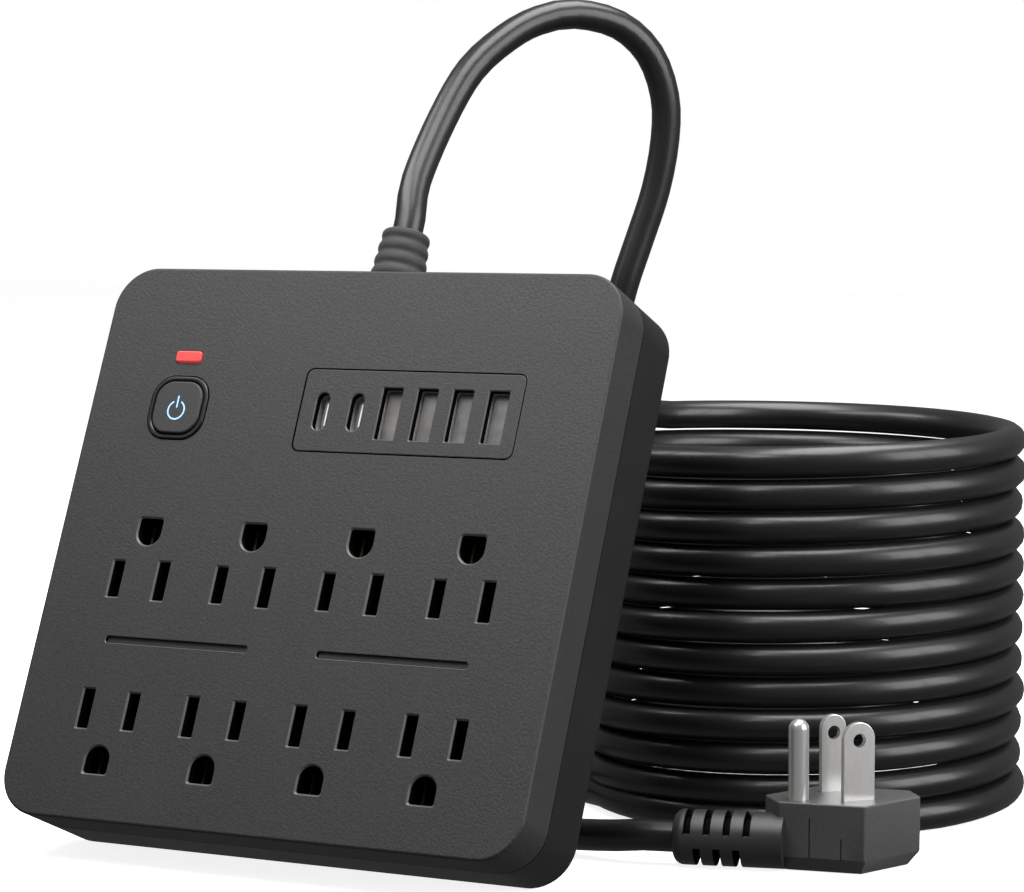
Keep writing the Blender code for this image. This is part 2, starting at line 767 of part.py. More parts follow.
def shell_top():
    return -PANEL_SKIN - GAP


def build_usb_ports(frame):
    for kind, number, x, size in usb_ports():
        top = shell_top()
        low = top - USB_DEPTH
        shell = add_object(
            f"usb_{kind}_shell_{number}",
            loft_mesh("usb_shell", prism(port_outline(kind, size, x, USB_SHEET), low, top)),
            "nickel", frame,
        )
        combine(shell, "DIFFERENCE", prism(port_outline(kind, size, x), low - 1.0, top + 1.0), name="bore")
        width, height = USB_C_TONGUE if kind == "c" else USB_A_TONGUE
        shift = 0.0 if kind == "c" else size[0] / 2 - width / 2 - GAP
        outline = rounded_outline(width, height, width * 0.3, 2, (x + shift, PORT_Y))
        add_object(
            f"usb_{kind}_tongue_{number}",
            loft_mesh("usb_tongue", prism(outline, low, top - TONGUE_RECESS)), "insulator", frame,
        )


def usb_board_top():
    return shell_top() - USB_DEPTH - GAP


def build_usb_board(frame):
    half_height = USB_A_SIZE[1] / 2 + USB_BOARD_MARGIN
    left = USB_C_X[0] - USB_C_SIZE[0] / 2 - USB_BOARD_MARGIN
    right = USB_A_X[-1] + USB_A_SIZE[0] / 2 + USB_BOARD_MARGIN
    top = usb_board_top()
    outline = rounded_outline(right - left, 2 * half_height, 1.0, 2, ((left + right) / 2, PORT_Y))
    add_object("usb_board", loft_mesh("usb_board", prism(outline, top - BOARD_THICKNESS, top)), "board", frame)


# ---------------------------------------------------------------- switch and indicator


def button_outline(size, radius, steps=6):
    return rounded_outline(size, size, radius, steps)


def build_button(frame):
    """The moving cap with its lit icon, plunger and contact bridge."""
    place = (BUTTON_X, BUTTON_Y, 0.0)
    rim = button_outline(BUTTON_SIZE, BUTTON_RADIUS)
    crown = button_outline(BUTTON_SIZE - 1.0, BUTTON_RADIUS - 0.5)
    low = BUTTON_PROUD - BUTTON_DEPTH
    cap = add_object("power_button", loft_mesh("power_button", [
        (rim, low), (rim, BUTTON_PROUD - 0.4), (crown, BUTTON_PROUD),
    ]), "trim", frame, place)
    icon_low = BUTTON_PROUD - 1.4
    middle = (0.0, -ICON_DROP)
    seat = circle_outline(ICON_RADIUS + GAP, 28, middle)
    combine(cap, "DIFFERENCE", prism(seat, icon_low - GAP, 2.0), name="icon_seat")
    add_object("power_icon", loft_mesh("power_icon", prism(
        circle_outline(ICON_RADIUS, 28, middle), icon_low, BUTTON_PROUD + 0.05
    )), "light", frame, place)

    top = low - GAP
    flange_low = top - PLUNGER_LENGTH
    plunger = add_object("switch_plunger", loft_mesh("switch_plunger", prism(
        button_outline(PLUNGER_FLANGE, 1.0, 2), flange_low, flange_low + FLANGE_THICKNESS
    )), "insulator", frame, place)
    combine(plunger, "UNION", prism(
        button_outline(PLUNGER_POST, 0.6, 2), flange_low + 0.5, top
    ), name="post")
    length, width, thickness = BRIDGE_SIZE
    bridge_top = flange_low - GAP
    add_object("contact_bridge", loft_mesh("contact_bridge", box_rings(
        (-length / 2, BRIDGE_OFFSET - width / 2, bridge_top - thickness),
        (length / 2, BRIDGE_OFFSET + width / 2, bridge_top),
    )), "brass", frame, place)
    return flange_low


def build_switch(frame, flange_low):
    place = (BUTTON_X, BUTTON_Y, 0.0)
    inner = BUTTON_SIZE + 2 * BUTTON_CLEARANCE
    outer = inner + 2 * BEZEL_WALL
    flange_top = -WALL - GAP
    ring = button_outline(outer, BUTTON_RADIUS + BEZEL_WALL)
    crest = button_outline(outer - 0.5, BUTTON_RADIUS + BEZEL_WALL - 0.25)
    flange = button_outline(outer + 2 * BEZEL_FLANGE, BUTTON_RADIUS + BEZEL_WALL)
    bezel = add_object("button_bezel", loft_mesh("button_bezel", [
        (flange, -BEZEL_DEPTH), (flange, flange_top), (ring, flange_top),
        (ring, BEZEL_PROUD - 0.25), (crest, BEZEL_PROUD),
    ]), "trim", frame, place)
    combine(bezel, "DIFFERENCE", prism(
        button_outline(inner, BUTTON_RADIUS + BUTTON_CLEARANCE), -BEZEL_DEPTH - 1.0, 2.0
    ), name="opening")

    top = -BEZEL_DEPTH - GAP
    low = top - SWITCH_DEPTH
    body = add_object("switch_body", loft_mesh("switch_body", prism(
        button_outline(SWITCH_SIZE, 1.0, 2), low, top
    )), "insulator", frame, place)
    room = SWITCH_SIZE - 2 * SWITCH_WALL
    combine(body, "DIFFERENCE", prism(
        button_outline(room, 0.6, 2), low + SWITCH_WALL, top + 1.0
    ), name="chamber")

    spring_low = low + SWITCH_WALL + GAP + SPRING_WIRE
    spring_high = flange_low - GAP - SPRING_WIRE
    steps = 14 * SPRING_TURNS
    points = []
    for step in range(steps + 1):
        angle = 2 * math.pi * SPRING_TURNS * step / steps
        z = spring_low + (spring_high - spring_low) * step / steps
        points.append((
            BUTTON_X + SPRING_RADIUS * math.cos(angle), BUTTON_Y + SPRING_RADIUS * math.sin(angle), z
        ))
    add_tube("return_spring", points, SPRING_WIRE, "steel", frame, sides=1)


def build_indicator(frame):
    place = (LENS_X, LENS_Y, 0.0)
    outer = rounded_outline(LENS_WIDTH, LENS_HEIGHT, LENS_HEIGHT / 2 - 0.01, 6)
    crest = rounded_outline(LENS_WIDTH - 0.8, LENS_HEIGHT - 0.8, LENS_HEIGHT / 2 - 0.41, 6)
    low = -LENS_DEPTH
    add_object("indicator_lens", loft_mesh("indicator_lens", [
        (outer, low), (outer, LENS_PROUD - 0.4), (crest, LENS_PROUD),
    ]), "red", frame, place)
    shoulder = low - GAP - 4.0
    add_object("indicator_led", loft_mesh("indicator_led", lathe_rings(
        [(LED_BASE_RADIUS, main_board_top() + GAP), (LED_BASE_RADIUS, shoulder),
         (LED_RADIUS, shoulder), (LED_RADIUS, low - GAP - 0.5), (LED_RADIUS * 0.6, low - GAP)], 14,
    )), "red", frame, place)


# ---------------------------------------------------------------- main board


def main_board_top():
    return -DEPTH + WALL + BOARD_CLEARANCE + BOARD_THICKNESS


def build_main_board(frame):
    top = main_board_top()
    middle = (BOARD_TOP_Y + BOARD_BOTTOM_Y) / 2
    outline = rounded_outline(2 * BOARD_HALF_WIDTH, BOARD_TOP_Y - BOARD_BOTTOM_Y, 1.5, 3, (0.0, middle))
    add_object("main_board", loft_mesh("main_board", prism(outline, top - BOARD_THICKNESS, top)), "board", frame)
    seat = top + GAP
    for number, x in enumerate(VARISTOR_X, 1):
        half = VARISTOR_THICKNESS / 2
        rings = lathe_rings([
            (VARISTOR_RADIUS - 1.0, -half), (VARISTOR_RADIUS, -half + 1.0),
            (VARISTOR_RADIUS, half - 1.0), (VARISTOR_RADIUS - 1.0, half),
        ], 24)
        add_object(
            f"varistor_{number}", loft_mesh("varistor", rings), "varistor", frame,
            (x, VARISTOR_Y, seat + VARISTOR_RADIUS), (math.pi / 2, 0.0, 0.0),
        )
    for name, place, size, finish in (
        ("transformer", TRANSFORMER_PLACE, TRANSFORMER_SIZE, "tape"),
        ("filter_capacitor", CAPACITOR_PLACE, CAPACITOR_SIZE, "tape"),
    ):
        rings = soft_box_rings(place, size[:2], 1.2, 0.5, seat, seat + size[2])
        add_object(name, loft_mesh(name, rings), finish, frame)
    half = FUSE_LENGTH / 2
    rings = lathe_rings([
        (FUSE_RADIUS * 0.6, -half), (FUSE_RADIUS, -half + 0.8),
        (FUSE_RADIUS, half - 0.8), (FUSE_RADIUS * 0.6, half),
    ], 16)
    add_object(
        "thermal_fuse", loft_mesh("thermal_fuse", rings), "steel", frame,
        (*FUSE_PLACE, seat + FUSE_RADIUS), (0.0, math.pi / 2, 0.0),
    )


def build_wires(frame):
    """Line to the switch, neutral and ground to their upper bus bars, behind the main board."""
    start_y = gland_flange_low() - GAP
    lane = -DEPTH + WALL + BOARD_CLEARANCE / 2
    bar_back = strip_low_high()[0] - GAP
    edge_y = BOARD_TOP_Y + 3.2
    side_x = BUTTON_X - SWITCH_SIZE / 2 - GAP
    ground_x = OUTLET_CENTRE_X + (OUTLET_COLUMNS - 1) / 2 * OUTLET_PITCH
    neutral_x = ground_x - OUTLET_PITCH / 2
    neutral_y = UPPER_ROW_Y + bar_start("neutral") + STRIP_WIDTH / 2
    ground_y = UPPER_ROW_Y + bar_start("ground") + STRIP_WIDTH / 2
    routes = {
        "line_wire": ("black_wire", (
            (-2.3, start_y, -GLAND_DEPTH), (-2.3, start_y - 2.0, -GLAND_DEPTH), (-3.0, edge_y + 0.6, -19.0),
            (-6.5, edge_y - 0.4, -22.8), (-13.0, edge_y - 2.6, lane), (-37.0, 49.0, lane),
            (-53.0, 42.5, lane), (-59.6, 37.6, -22.6), (-62.0, 34.3, -18.6), (-61.0, 32.8, -14.4),
            (side_x - 4.0, BUTTON_Y, -12.4), (side_x, BUTTON_Y, -12.4),
        )),
        "neutral_wire": ("white_wire", (
            (0.0, start_y, -GLAND_DEPTH), (0.0, start_y - 2.0, -GLAND_DEPTH), (0.6, edge_y + 0.6, -19.0),
            (2.0, edge_y - 0.4, -22.8), (5.0, edge_y - 4.0, lane), (10.0, 48.0, lane), (20.0, 36.0, lane),
            (neutral_x - 2.0, 20.0, lane), (neutral_x, 9.5, lane), (neutral_x, 2.4, -21.6),
            (neutral_x, neutral_y, -18.2), (neutral_x, neutral_y, bar_back),
        )),
        "ground_wire": ("green_wire", (
            (2.3, start_y, -GLAND_DEPTH), (2.3, start_y - 2.0, -GLAND_DEPTH), (3.4, edge_y + 0.6, -19.0),
            (7.0, edge_y - 0.4, -22.8), (12.5, edge_y - 3.2, lane), (20.0, 50.5, lane), (35.0, 40.0, lane),
            (ground_x - 2.0, 25.0, lane), (ground_x, 13.0, lane), (ground_x, 8.0, -22.2),
            (ground_x, ground_y, -18.6), (ground_x, ground_y, bar_back),
        )),
    }
    for name, (finish, points) in routes.items():
        run = [points[0], *smooth_route(points[1:-1], 4.0), points[-1]]
        add_tube(name, run, WIRE_RADIUS, finish, frame, sides=1)


# ---------------------------------------------------------------- cord, coil and plug


def gland_flange_low():
    """Lower face of the flange that holds the gland inside the top wall."""
    return HEIGHT / 2 - WALL - GAP - GLAND_FLANGE_THICKNESS


def build_gland(frame):
    """A ribbed boot outside the top wall, a neck through it and a flange inside."""
    base = HEIGHT / 2 + GAP
    tip = HEIGHT / 2 + GLAND_LENGTH
    flange_high = HEIGHT / 2 - WALL - GAP
    profile = [
        (GLAND_FLANGE_RADIUS, gland_flange_low()), (GLAND_FLANGE_RADIUS, flange_high),
        (GLAND_NECK_RADIUS, flange_high), (GLAND_NECK_RADIUS, base),
    ]
    usable = tip - base - 1.6
    for rib in range(GLAND_RIBS + 1):
        along = rib / GLAND_RIBS
        radius = GLAND_BASE_RADIUS + (GLAND_TIP_RADIUS - GLAND_BASE_RADIUS) * along
        z = base + usable * along
        profile.append((radius, z))
        if rib < GLAND_RIBS:
            profile.append((radius, z + usable / GLAND_RIBS * 0.55))
            profile.append((radius - GLAND_RIB_DEPTH, z + usable / GLAND_RIBS * 0.78))
    profile.append((GLAND_TIP_RADIUS - 0.5, tip - 0.7))
    profile.append((GLAND_TIP_RADIUS - 1.5, tip))
    add_object(
        "cord_gland", loft_mesh("cord_gland", lathe_rings(profile, 24), sharp_degrees=50.0),
        "rubber", frame, (0.0, 0.0, -GLAND_DEPTH), (-math.pi / 2, 0.0, 0.0),
    )


def gland_exit(frame):
    """Where the cord leaves the gland, and the way it leaves, in the part's frame."""
    matrix = Matrix.Translation(frame.location / MM) @ frame.rotation_euler.to_matrix().to_4x4()
    way = matrix.to_3x3() @ Vector((0.0, 1.0, 0.0))
    tip = matrix @ Vector((0.0, HEIGHT / 2 + GLAND_LENGTH + GAP, -GLAND_DEPTH))
    return tip, way


def build_cord(frame, plug_frame):
    radius = CORD_DIAMETER / 2
    spacing = 2 * CORD_DIAMETER
    tip, way = gland_exit(frame)
    loop = smooth_route((tip + way * radius, *LOOP_ROUTE), spacing)
    add_tube("power_cord_loop", [tip, *loop], radius, "cord", None)
    mouth, way = relief_mouth(plug_frame)
    lead = smooth_route((*LEAD_ROUTE, mouth + way * 2 * radius, mouth + way * radius), spacing)
    add_tube("power_cord_lead", [*lead, mouth], radius, "cord", None)

    inner = COIL_RADIUS - radius
    outer = COIL_RADIUS + radius
    shape = bmesh.new()
    rows = []
    for r, z in ((inner, 0.0), (outer, 0.0), (outer, COIL_HEIGHT), (inner, COIL_HEIGHT)):
        rows.append([shape.verts.new((x, y, z)) for x, y in circle_outline(r, COIL_STEPS)])
    for row, after in zip(rows, rows[1:] + rows[:1]):
        for index in range(COIL_STEPS):
            beside = (index + 1) % COIL_STEPS
            shape.faces.new((row[index], row[beside], after[beside], after[index]))
    add_object("cord_coil", mesh_from("cord_coil", shape), "cord", None, (COIL_X, COIL_Y, 0.0))


def relief_mouth(frame):
    """Where the cord meets the strain relief, and the way out of it, in the part's frame."""
    turn = frame.rotation_euler.to_matrix()
    way = turn @ Vector((math.cos(RELIEF_TURN), math.sin(RELIEF_TURN), 0.0))
    start = frame.location / MM + turn @ Vector((*RELIEF_THROUGH, RELIEF_HEIGHT))
    return start + way * (RELIEF_OUTER + GAP), way


def build_plug():
    frame = add_empty("plug_frame", (PLUG_X, PLUG_Y, 0.0), (0.0, 0.0, PLUG_TURN))
    foot = grown(PLUG_OUTLINE, -PLUG_FOOT_INSET)
    crest = grown(PLUG_OUTLINE, -PLUG_EDGE)
    body = add_object("plug_body", loft_mesh("plug_body", [
        (foot, 0.0), (PLUG_OUTLINE, PLUG_FOOT_HEIGHT), (PLUG_OUTLINE, PLUG_HEIGHT - PLUG_EDGE),
        (crest, PLUG_HEIGHT),
    ]), "trim", frame)
    pockets = []
    low = PLUG_HEIGHT - PIN_POCKET
    for name, width, side in pin_blades():
        outline = rounded_outline(
            width + 2 * GAP, BLADE_THICKNESS + 2 * GAP, 0.3, 1, (0.0, side * BLADE_SPACING / 2)
        )
        pockets.append(prism(outline, low - GAP, PLUG_HEIGHT + 1.0))
    pockets.append(prism(
        circle_outline(PIN_RADIUS + GAP, 20, (-GROUND_OFFSET, 0.0)), low - GAP, PLUG_HEIGHT + 1.0
    ))
    combine(body, "DIFFERENCE", *pockets, name="pin_pockets")
    build_pins(frame, low)
    build_strain_relief(frame)
    return frame


def pin_blades():
    """(name, width, side of the plug's centre line) of each blade."""
    return (
        ("hot_blade", HOT_BLADE_WIDTH, 1),
        ("neutral_blade", NEUTRAL_BLADE_WIDTH, -1),
    )


def build_pins(frame, low):
    high = PLUG_HEIGHT + BLADE_LENGTH
    for name, width, side in pin_blades():
        half = width / 2
        outline = [(-half, low), (half, low)]
        for step in range(13):
            angle = math.pi * step / 12
            outline.append((half * math.cos(angle), high - half + half * math.sin(angle)))
        thick = BLADE_THICKNESS / 2
        blade = add_object(
            name, loft_mesh(name, prism(outline, -thick, thick)), "nickel", frame,
            (0.0, side * BLADE_SPACING / 2, 0.0), (math.pi / 2, 0.0, 0.0),
        )
        hole = circle_outline(BLADE_HOLE_RADIUS, 20, (0.0, high - BLADE_HOLE_DROP))
        combine(blade, "DIFFERENCE", prism(hole, -BLADE_THICKNESS, BLADE_THICKNESS), name="hole")
    top = PLUG_HEIGHT + PIN_LENGTH
    profile = [(PIN_RADIUS, low)]
    for angle in (0, 25, 50, 70):
        along = math.radians(angle)
        profile.append((PIN_RADIUS * math.cos(along), top - PIN_RADIUS + PIN_RADIUS * math.sin(along)))
    add_object(
        "ground_pin", loft_mesh("ground_pin", lathe_rings(profile, 20), sharp_degrees=60.0),
        "nickel", frame, (-GROUND_OFFSET, 0.0, 0.0),
    )


def build_strain_relief(frame):
    """A stubby sleeve with cross slots, cut to seat on the plug's side."""
    arc = [math.radians(angle) for angle in (60, 40, 20, 0)]
    profile = [(RELIEF_RADIUS, RELIEF_INNER)]
    straight = RELIEF_OUTER - RELIEF_ROUND
    for angle in reversed(arc):
        profile.append((
            RELIEF_RADIUS - RELIEF_ROUND * (1 - math.cos(angle)), straight + RELIEF_ROUND * math.sin(angle)
        ))
    profile.append((CORD_DIAMETER / 2, RELIEF_OUTER))
    turn = (math.pi / 2, 0.0, RELIEF_TURN + math.pi / 2)
    sleeve = add_object(
        "plug_strain_relief", loft_mesh("plug_strain_relief", lathe_rings(profile, 24), sharp_degrees=50.0),
        "trim", frame, (*RELIEF_THROUGH, RELIEF_HEIGHT), turn,
    )
    seat = grown(PLUG_OUTLINE, GAP)
    seat_foot = grown(PLUG_OUTLINE, GAP - PLUG_FOOT_INSET)
    helper = add_object("relief_seat", loft_mesh("relief_seat", [
        (grown(seat_foot, -0.8), -1.0), (seat, PLUG_FOOT_HEIGHT), (seat, PLUG_HEIGHT + 2.0),
    ]), None, frame)
    helper.hide_render = True
    helper.display_type = "WIRE"
    add_modifier(sleeve, helper, "DIFFERENCE")
    slots = []
    half = RELIEF_SLOT_WIDTH / 2
    for side, count in ((1, RELIEF_SLOTS), (-1, RELIEF_SLOTS - 1)):
        for number in range(count):
            middle = straight - 1.4 - number * RELIEF_SLOT_PITCH - (0 if side > 0 else RELIEF_SLOT_PITCH / 2)
            edges = sorted((side * (RELIEF_RADIUS - RELIEF_SLOT_DEPTH), side * (RELIEF_RADIUS + 1.0)))
            slots.append(box_rings(
                (-RELIEF_RADIUS - 1.0, edges[0], middle - half), (RELIEF_RADIUS + 1.0, edges[1], middle + half)
            ))
    combine(sleeve, "DIFFERENCE", *slots, name="slots")


def main():
    clear_scene()
    frame = housing_frame()
    build_front_cover(frame)
    build_rear_cover(frame)
    build_feet(frame)
    build_screws(frame)
    build_contact_block(frame)
    build_bus_bars(frame)
    build_usb_panel(frame)
    build_usb_ports(frame)
    build_usb_board(frame)
    flange_low = build_button(frame)
    build_switch(frame, flange_low)
    build_indicator(frame)
    build_main_board(frame)
    build_wires(frame)
    build_gland(frame)
    plug_frame = build_plug()
    build_cord(frame, plug_frame)


main()
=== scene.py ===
"""Looks of a surge protector: outlets, USB ports, a lit push switch and a coiled cord with its plug."""

import json
import logging
import math
from dataclasses import dataclass
from enum import Enum
from typing import Any, Callable, Iterable, Sequence

import bmesh
import bpy
from mathutils import Matrix, Vector


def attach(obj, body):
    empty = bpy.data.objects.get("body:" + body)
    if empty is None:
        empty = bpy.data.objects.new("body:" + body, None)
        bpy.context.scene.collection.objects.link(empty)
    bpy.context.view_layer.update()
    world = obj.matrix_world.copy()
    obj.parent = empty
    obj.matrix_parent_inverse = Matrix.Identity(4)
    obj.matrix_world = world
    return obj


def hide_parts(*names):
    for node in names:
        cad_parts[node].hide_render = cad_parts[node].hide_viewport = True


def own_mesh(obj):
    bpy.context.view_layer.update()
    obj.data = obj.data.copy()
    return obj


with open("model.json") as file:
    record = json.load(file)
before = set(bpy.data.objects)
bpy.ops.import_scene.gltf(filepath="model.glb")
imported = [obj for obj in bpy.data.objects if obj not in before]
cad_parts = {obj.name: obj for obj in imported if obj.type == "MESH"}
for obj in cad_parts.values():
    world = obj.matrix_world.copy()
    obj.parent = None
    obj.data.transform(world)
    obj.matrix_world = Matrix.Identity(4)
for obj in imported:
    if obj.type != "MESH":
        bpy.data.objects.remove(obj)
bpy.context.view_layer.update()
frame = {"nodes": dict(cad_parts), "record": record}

LOG = logging.getLogger("surge_protector")
MM = 0.001
CLEARANCE = 0.3  # what neighbouring pieces keep between them, in millimetres

Point = Sequence[float]
FaceTest = Callable[[bmesh.types.BMFace], bool]
EdgeTest = Callable[[bmesh.types.BMEdge], bool]
ZoneTest = Callable[[Vector, Vector], "Zone"]


class Zone(Enum):
    """Where a face of a cover lies; the value is its material's place."""

    SKIN = 0
    # walls of openings, painted near-black as shade
    PAINTED_SHADE_WELL = 1
    # lips round openings, painted lighter as a highlight
    PAINTED_HIGHLIGHT_LIP = 2


class Body(Enum):
    """The bodies that pieces ride on."""

    HOUSING = "housing"
    BUTTON = "button"


# ---------------------------------------------------------------- shader recipes


class Value:
    """A number on a shader link, whose arithmetic adds Math nodes."""

    def __init__(self, recipe: "Recipe", socket: bpy.types.NodeSocket) -> None:
        """Keep the recipe that the socket belongs to."""
        self.recipe = recipe
        self.socket = socket

    def combined(self, operation: str, first: Any, second: Any) -> "Value":
        """One Math node on two numbers or values."""
        node = self.recipe.node("ShaderNodeMath", {"operation": operation}, {0: first, 1: second})
        return Value(self.recipe, node.outputs[0])

    def __add__(self, other: Any) -> "Value":
        """The sum."""
        return self.combined("ADD", self, other)

    def __radd__(self, other: Any) -> "Value":
        """The sum, with a plain number first."""
        return self.combined("ADD", other, self)

    def __sub__(self, other: Any) -> "Value":
        """The difference."""
        return self.combined("SUBTRACT", self, other)

    def __rsub__(self, other: Any) -> "Value":
        """The difference, with a plain number first."""
        return self.combined("SUBTRACT", other, self)

    def __mul__(self, other: Any) -> "Value":
        """The product."""
        return self.combined("MULTIPLY", self, other)

    def __rmul__(self, other: Any) -> "Value":
        """The product, with a plain number first."""
        return self.combined("MULTIPLY", other, self)


class Recipe:
    """A material's node tree, built node by node."""

    def __init__(self, name: str) -> None:
        """Start a material that holds only its shader and its output."""
        self.material = bpy.data.materials.new(name)
        self.material.use_nodes = True
        self.tree = self.material.node_tree
        self.shader = self.tree.nodes["Principled BSDF"]

    def node(self, kind: str, settings: dict | None = None, inputs: dict | None = None) -> bpy.types.Node:
        """Add one node.

        Args:
            kind: The node's type.
            settings: What is set on the node before its sockets, such as a Math node's operation.
            inputs: A number, colour, value or socket for each input, by its place or name.

        Returns:
            The new node.
        """
        made = self.tree.nodes.new(kind)
        for key, setting in (settings or {}).items():
            setattr(made, key, setting)
        for key, given in (inputs or {}).items():
            self.feed(made.inputs[key], given)
        return made

    def feed(self, socket: bpy.types.NodeSocket, given: Any) -> None:
        """Link a value or socket to an input, or set the input to a plain number."""
        if isinstance(given, Value):
            given = given.socket
        if isinstance(given, bpy.types.NodeSocket):
            self.tree.links.new(given, socket)
        else:
            socket.default_value = given

    def place(self, stretch: Point) -> bpy.types.NodeSocket:
        """Object coordinates, stretched along the axes."""
        coordinates = self.node("ShaderNodeTexCoord")
        inputs = {"Vector": coordinates.outputs["Object"], "Scale": stretch}
        mapping = self.node("ShaderNodeMapping", None, inputs)
        return mapping.outputs["Vector"]

    def noise(self, place: bpy.types.NodeSocket, scale: float, detail: float = 2.0) -> Value:
        """Noise about one half, at a scale in cycles a metre."""
        made = self.node("ShaderNodeTexNoise", None, {"Vector": place, "Scale": scale, "Detail": detail})
        return Value(self, made.outputs["Fac"])

    def blend(self, share: Any, first: Any, second: Any) -> bpy.types.NodeSocket:
        """A colour between two."""
        made = self.node("ShaderNodeMix", {"data_type": "RGBA"}, {"Factor": share, 6: first, 7: second})
        return made.outputs[2]


NOISE_GAIN = 2.2  # noise stays near one half, so it is stretched by this much
GRAIN_STRENGTH = 0.8


@dataclass(frozen=True)
class Finish:
    """A surface: its colour, how it scatters light, and its specks and grain.

    Scales are in cycles a metre and the grain's depth is in metres.
    """

    name: str
    colour: tuple[float, float, float]
    roughness: float
    metallic: float = 0.0
    coat: float = 0.0
    specks: float = 0.12
    speck_scale: float = 1500.0
    drift: float = 0.1
    drift_scale: float = 45.0
    spread: float = 0.12
    grain: float = 0.00004
    grain_scale: float = 2600.0
    stretch: tuple[float, float, float] = (1.0, 1.0, 1.0)
    glow: float = 0.0
    glow_colour: tuple[float, float, float] = (1.0, 1.0, 1.0)
    sheen: float = 0.0
    specular: float = 0.5

    def shade(self, amount: float) -> tuple[float, float, float, float]:
        """The colour made lighter or darker by a share."""
        return (*[min(1.0, max(0.0, part * (1.0 + amount))) for part in self.colour], 1.0)

    def build(self) -> bpy.types.Material:
        """Make the material, or find it if it has been made."""
        found = bpy.data.materials.get(self.name)
        if found:
            return found
        recipe = Recipe(self.name)
        inputs = recipe.shader.inputs
        place = recipe.place(self.stretch)
        fine = recipe.noise(place, self.speck_scale)
        slow = recipe.noise(place, self.drift_scale, 3.0)
        grain = recipe.noise(place, self.grain_scale, 3.0)
        widest = max(0.001, self.specks + self.drift)
        speckled = (fine - 0.5) * (NOISE_GAIN * self.specks / widest)
        drifted = (slow - 0.5) * (NOISE_GAIN * self.drift / widest)
        share = 0.5 + speckled + drifted
        colour = recipe.blend(share, self.shade(-widest), self.shade(widest))
        recipe.feed(inputs["Base Color"], colour)
        roughness = self.roughness + (slow - 0.5) * self.spread + (fine - 0.5) * (self.spread * 0.5)
        recipe.feed(inputs["Roughness"], roughness)
        heights = {"Strength": GRAIN_STRENGTH, "Distance": self.grain, "Height": grain}
        bump = recipe.node("ShaderNodeBump", None, heights)
        recipe.feed(inputs["Normal"], bump.outputs["Normal"])
        recipe.feed(inputs["Metallic"], self.metallic)
        recipe.feed(inputs["Coat Weight"], self.coat)
        recipe.feed(inputs["Sheen Weight"], self.sheen)
        recipe.feed(inputs["Specular IOR Level"], self.specular)
        if self.glow:
            recipe.feed(inputs["Emission Color"], (*self.glow_colour, 1.0))
            recipe.feed(inputs["Emission Strength"], self.glow)
        return recipe.material


GRAINED = {"specks": 0.32, "speck_scale": 1900.0, "drift": 0.06, "grain": 0.00011, "grain_scale": 1900.0}
MOULDED = {"specks": 0.1, "grain": 0.00003, "grain_scale": 2200.0}
SMOOTH = {"specks": 0.05, "grain": 0.00001}

FACE = Finish("grained_case", (0.025, 0.025, 0.0255), 0.6, **GRAINED)
PANEL = Finish("grained_panel", (0.0235, 0.0235, 0.024), 0.58, **GRAINED)
# painted shade: a darker copy of the case plastic, so that the housing's side reads shaded
SHADED_BACK = Finish("satin_case_painted_shade", (0.008, 0.008, 0.0083), 0.44)
GLOSS = Finish("gloss_trim", (0.003, 0.003, 0.0032), 0.3, coat=0.1, **SMOOTH)
CAP = Finish(
    "satin_cap", (0.025, 0.025, 0.026), 0.55, specks=0.25, speck_scale=1900.0, grain=0.00008,
    grain_scale=1900.0,
)
# painted shade: darkened, with little reflection, so that the contact block behind the slots reads black
SHADED_INSULATOR = Finish("insulator_painted_shade", (0.0025, 0.0025, 0.0025), 0.85, specular=0.1)
# painted shade: near-black and barely reflecting, for the walls of openings and slots
PAINTED_SHADE_WELL = Finish("painted_shade_well", (0.002, 0.002, 0.002), 0.8, specular=0.04)
# painted highlight: a lighter grey on the lips round the openings
PAINTED_HIGHLIGHT_LIP = Finish("painted_highlight_lip", (0.075, 0.075, 0.076), 0.4, specks=0.2, speck_scale=1900.0)
RUBBER = Finish("soft_rubber", (0.019, 0.019, 0.02), 0.7, specks=0.14, grain=0.00005, sheen=0.1)
SHEATH = Finish(
    "glossy_sheath", (0.012, 0.012, 0.0125), 0.34, coat=0.1, specks=0.08, speck_scale=900.0, drift=0.2,
    drift_scale=30.0, spread=0.16, grain=0.00003, grain_scale=700.0,
)
PLUG_SKIN = Finish("satin_plug", (0.075, 0.075, 0.076), 0.45, **MOULDED)
SLEEVE = Finish("satin_sleeve", (0.03, 0.03, 0.031), 0.42, **MOULDED)
NICKEL = Finish(
    "plated_nickel", (0.78, 0.77, 0.755), 0.24, metallic=0.72, specks=0.03, drift=0.04, spread=0.14,
    grain=0.000006, grain_scale=900.0, stretch=(1.0, 1.0, 0.12),
)
PORT_TIN = Finish(
    "port_tin", (0.78, 0.77, 0.76), 0.42, metallic=0.35, specks=0.04, drift=0.05, grain=0.00001
)
PORT_INSERT = Finish(
    "port_insert", (0.16, 0.156, 0.152), 0.42, metallic=0.1, drift=0.3, drift_scale=180.0, **SMOOTH
)
# painted highlight: the small ports' contacts, pale and faintly glowing
CONTACT_HIGHLIGHT_STRIP = Finish(
    "contact_strip_painted_highlight", (0.95, 0.84, 0.8), 0.3, specks=0.04, grain=0.00001, glow=0.12
)
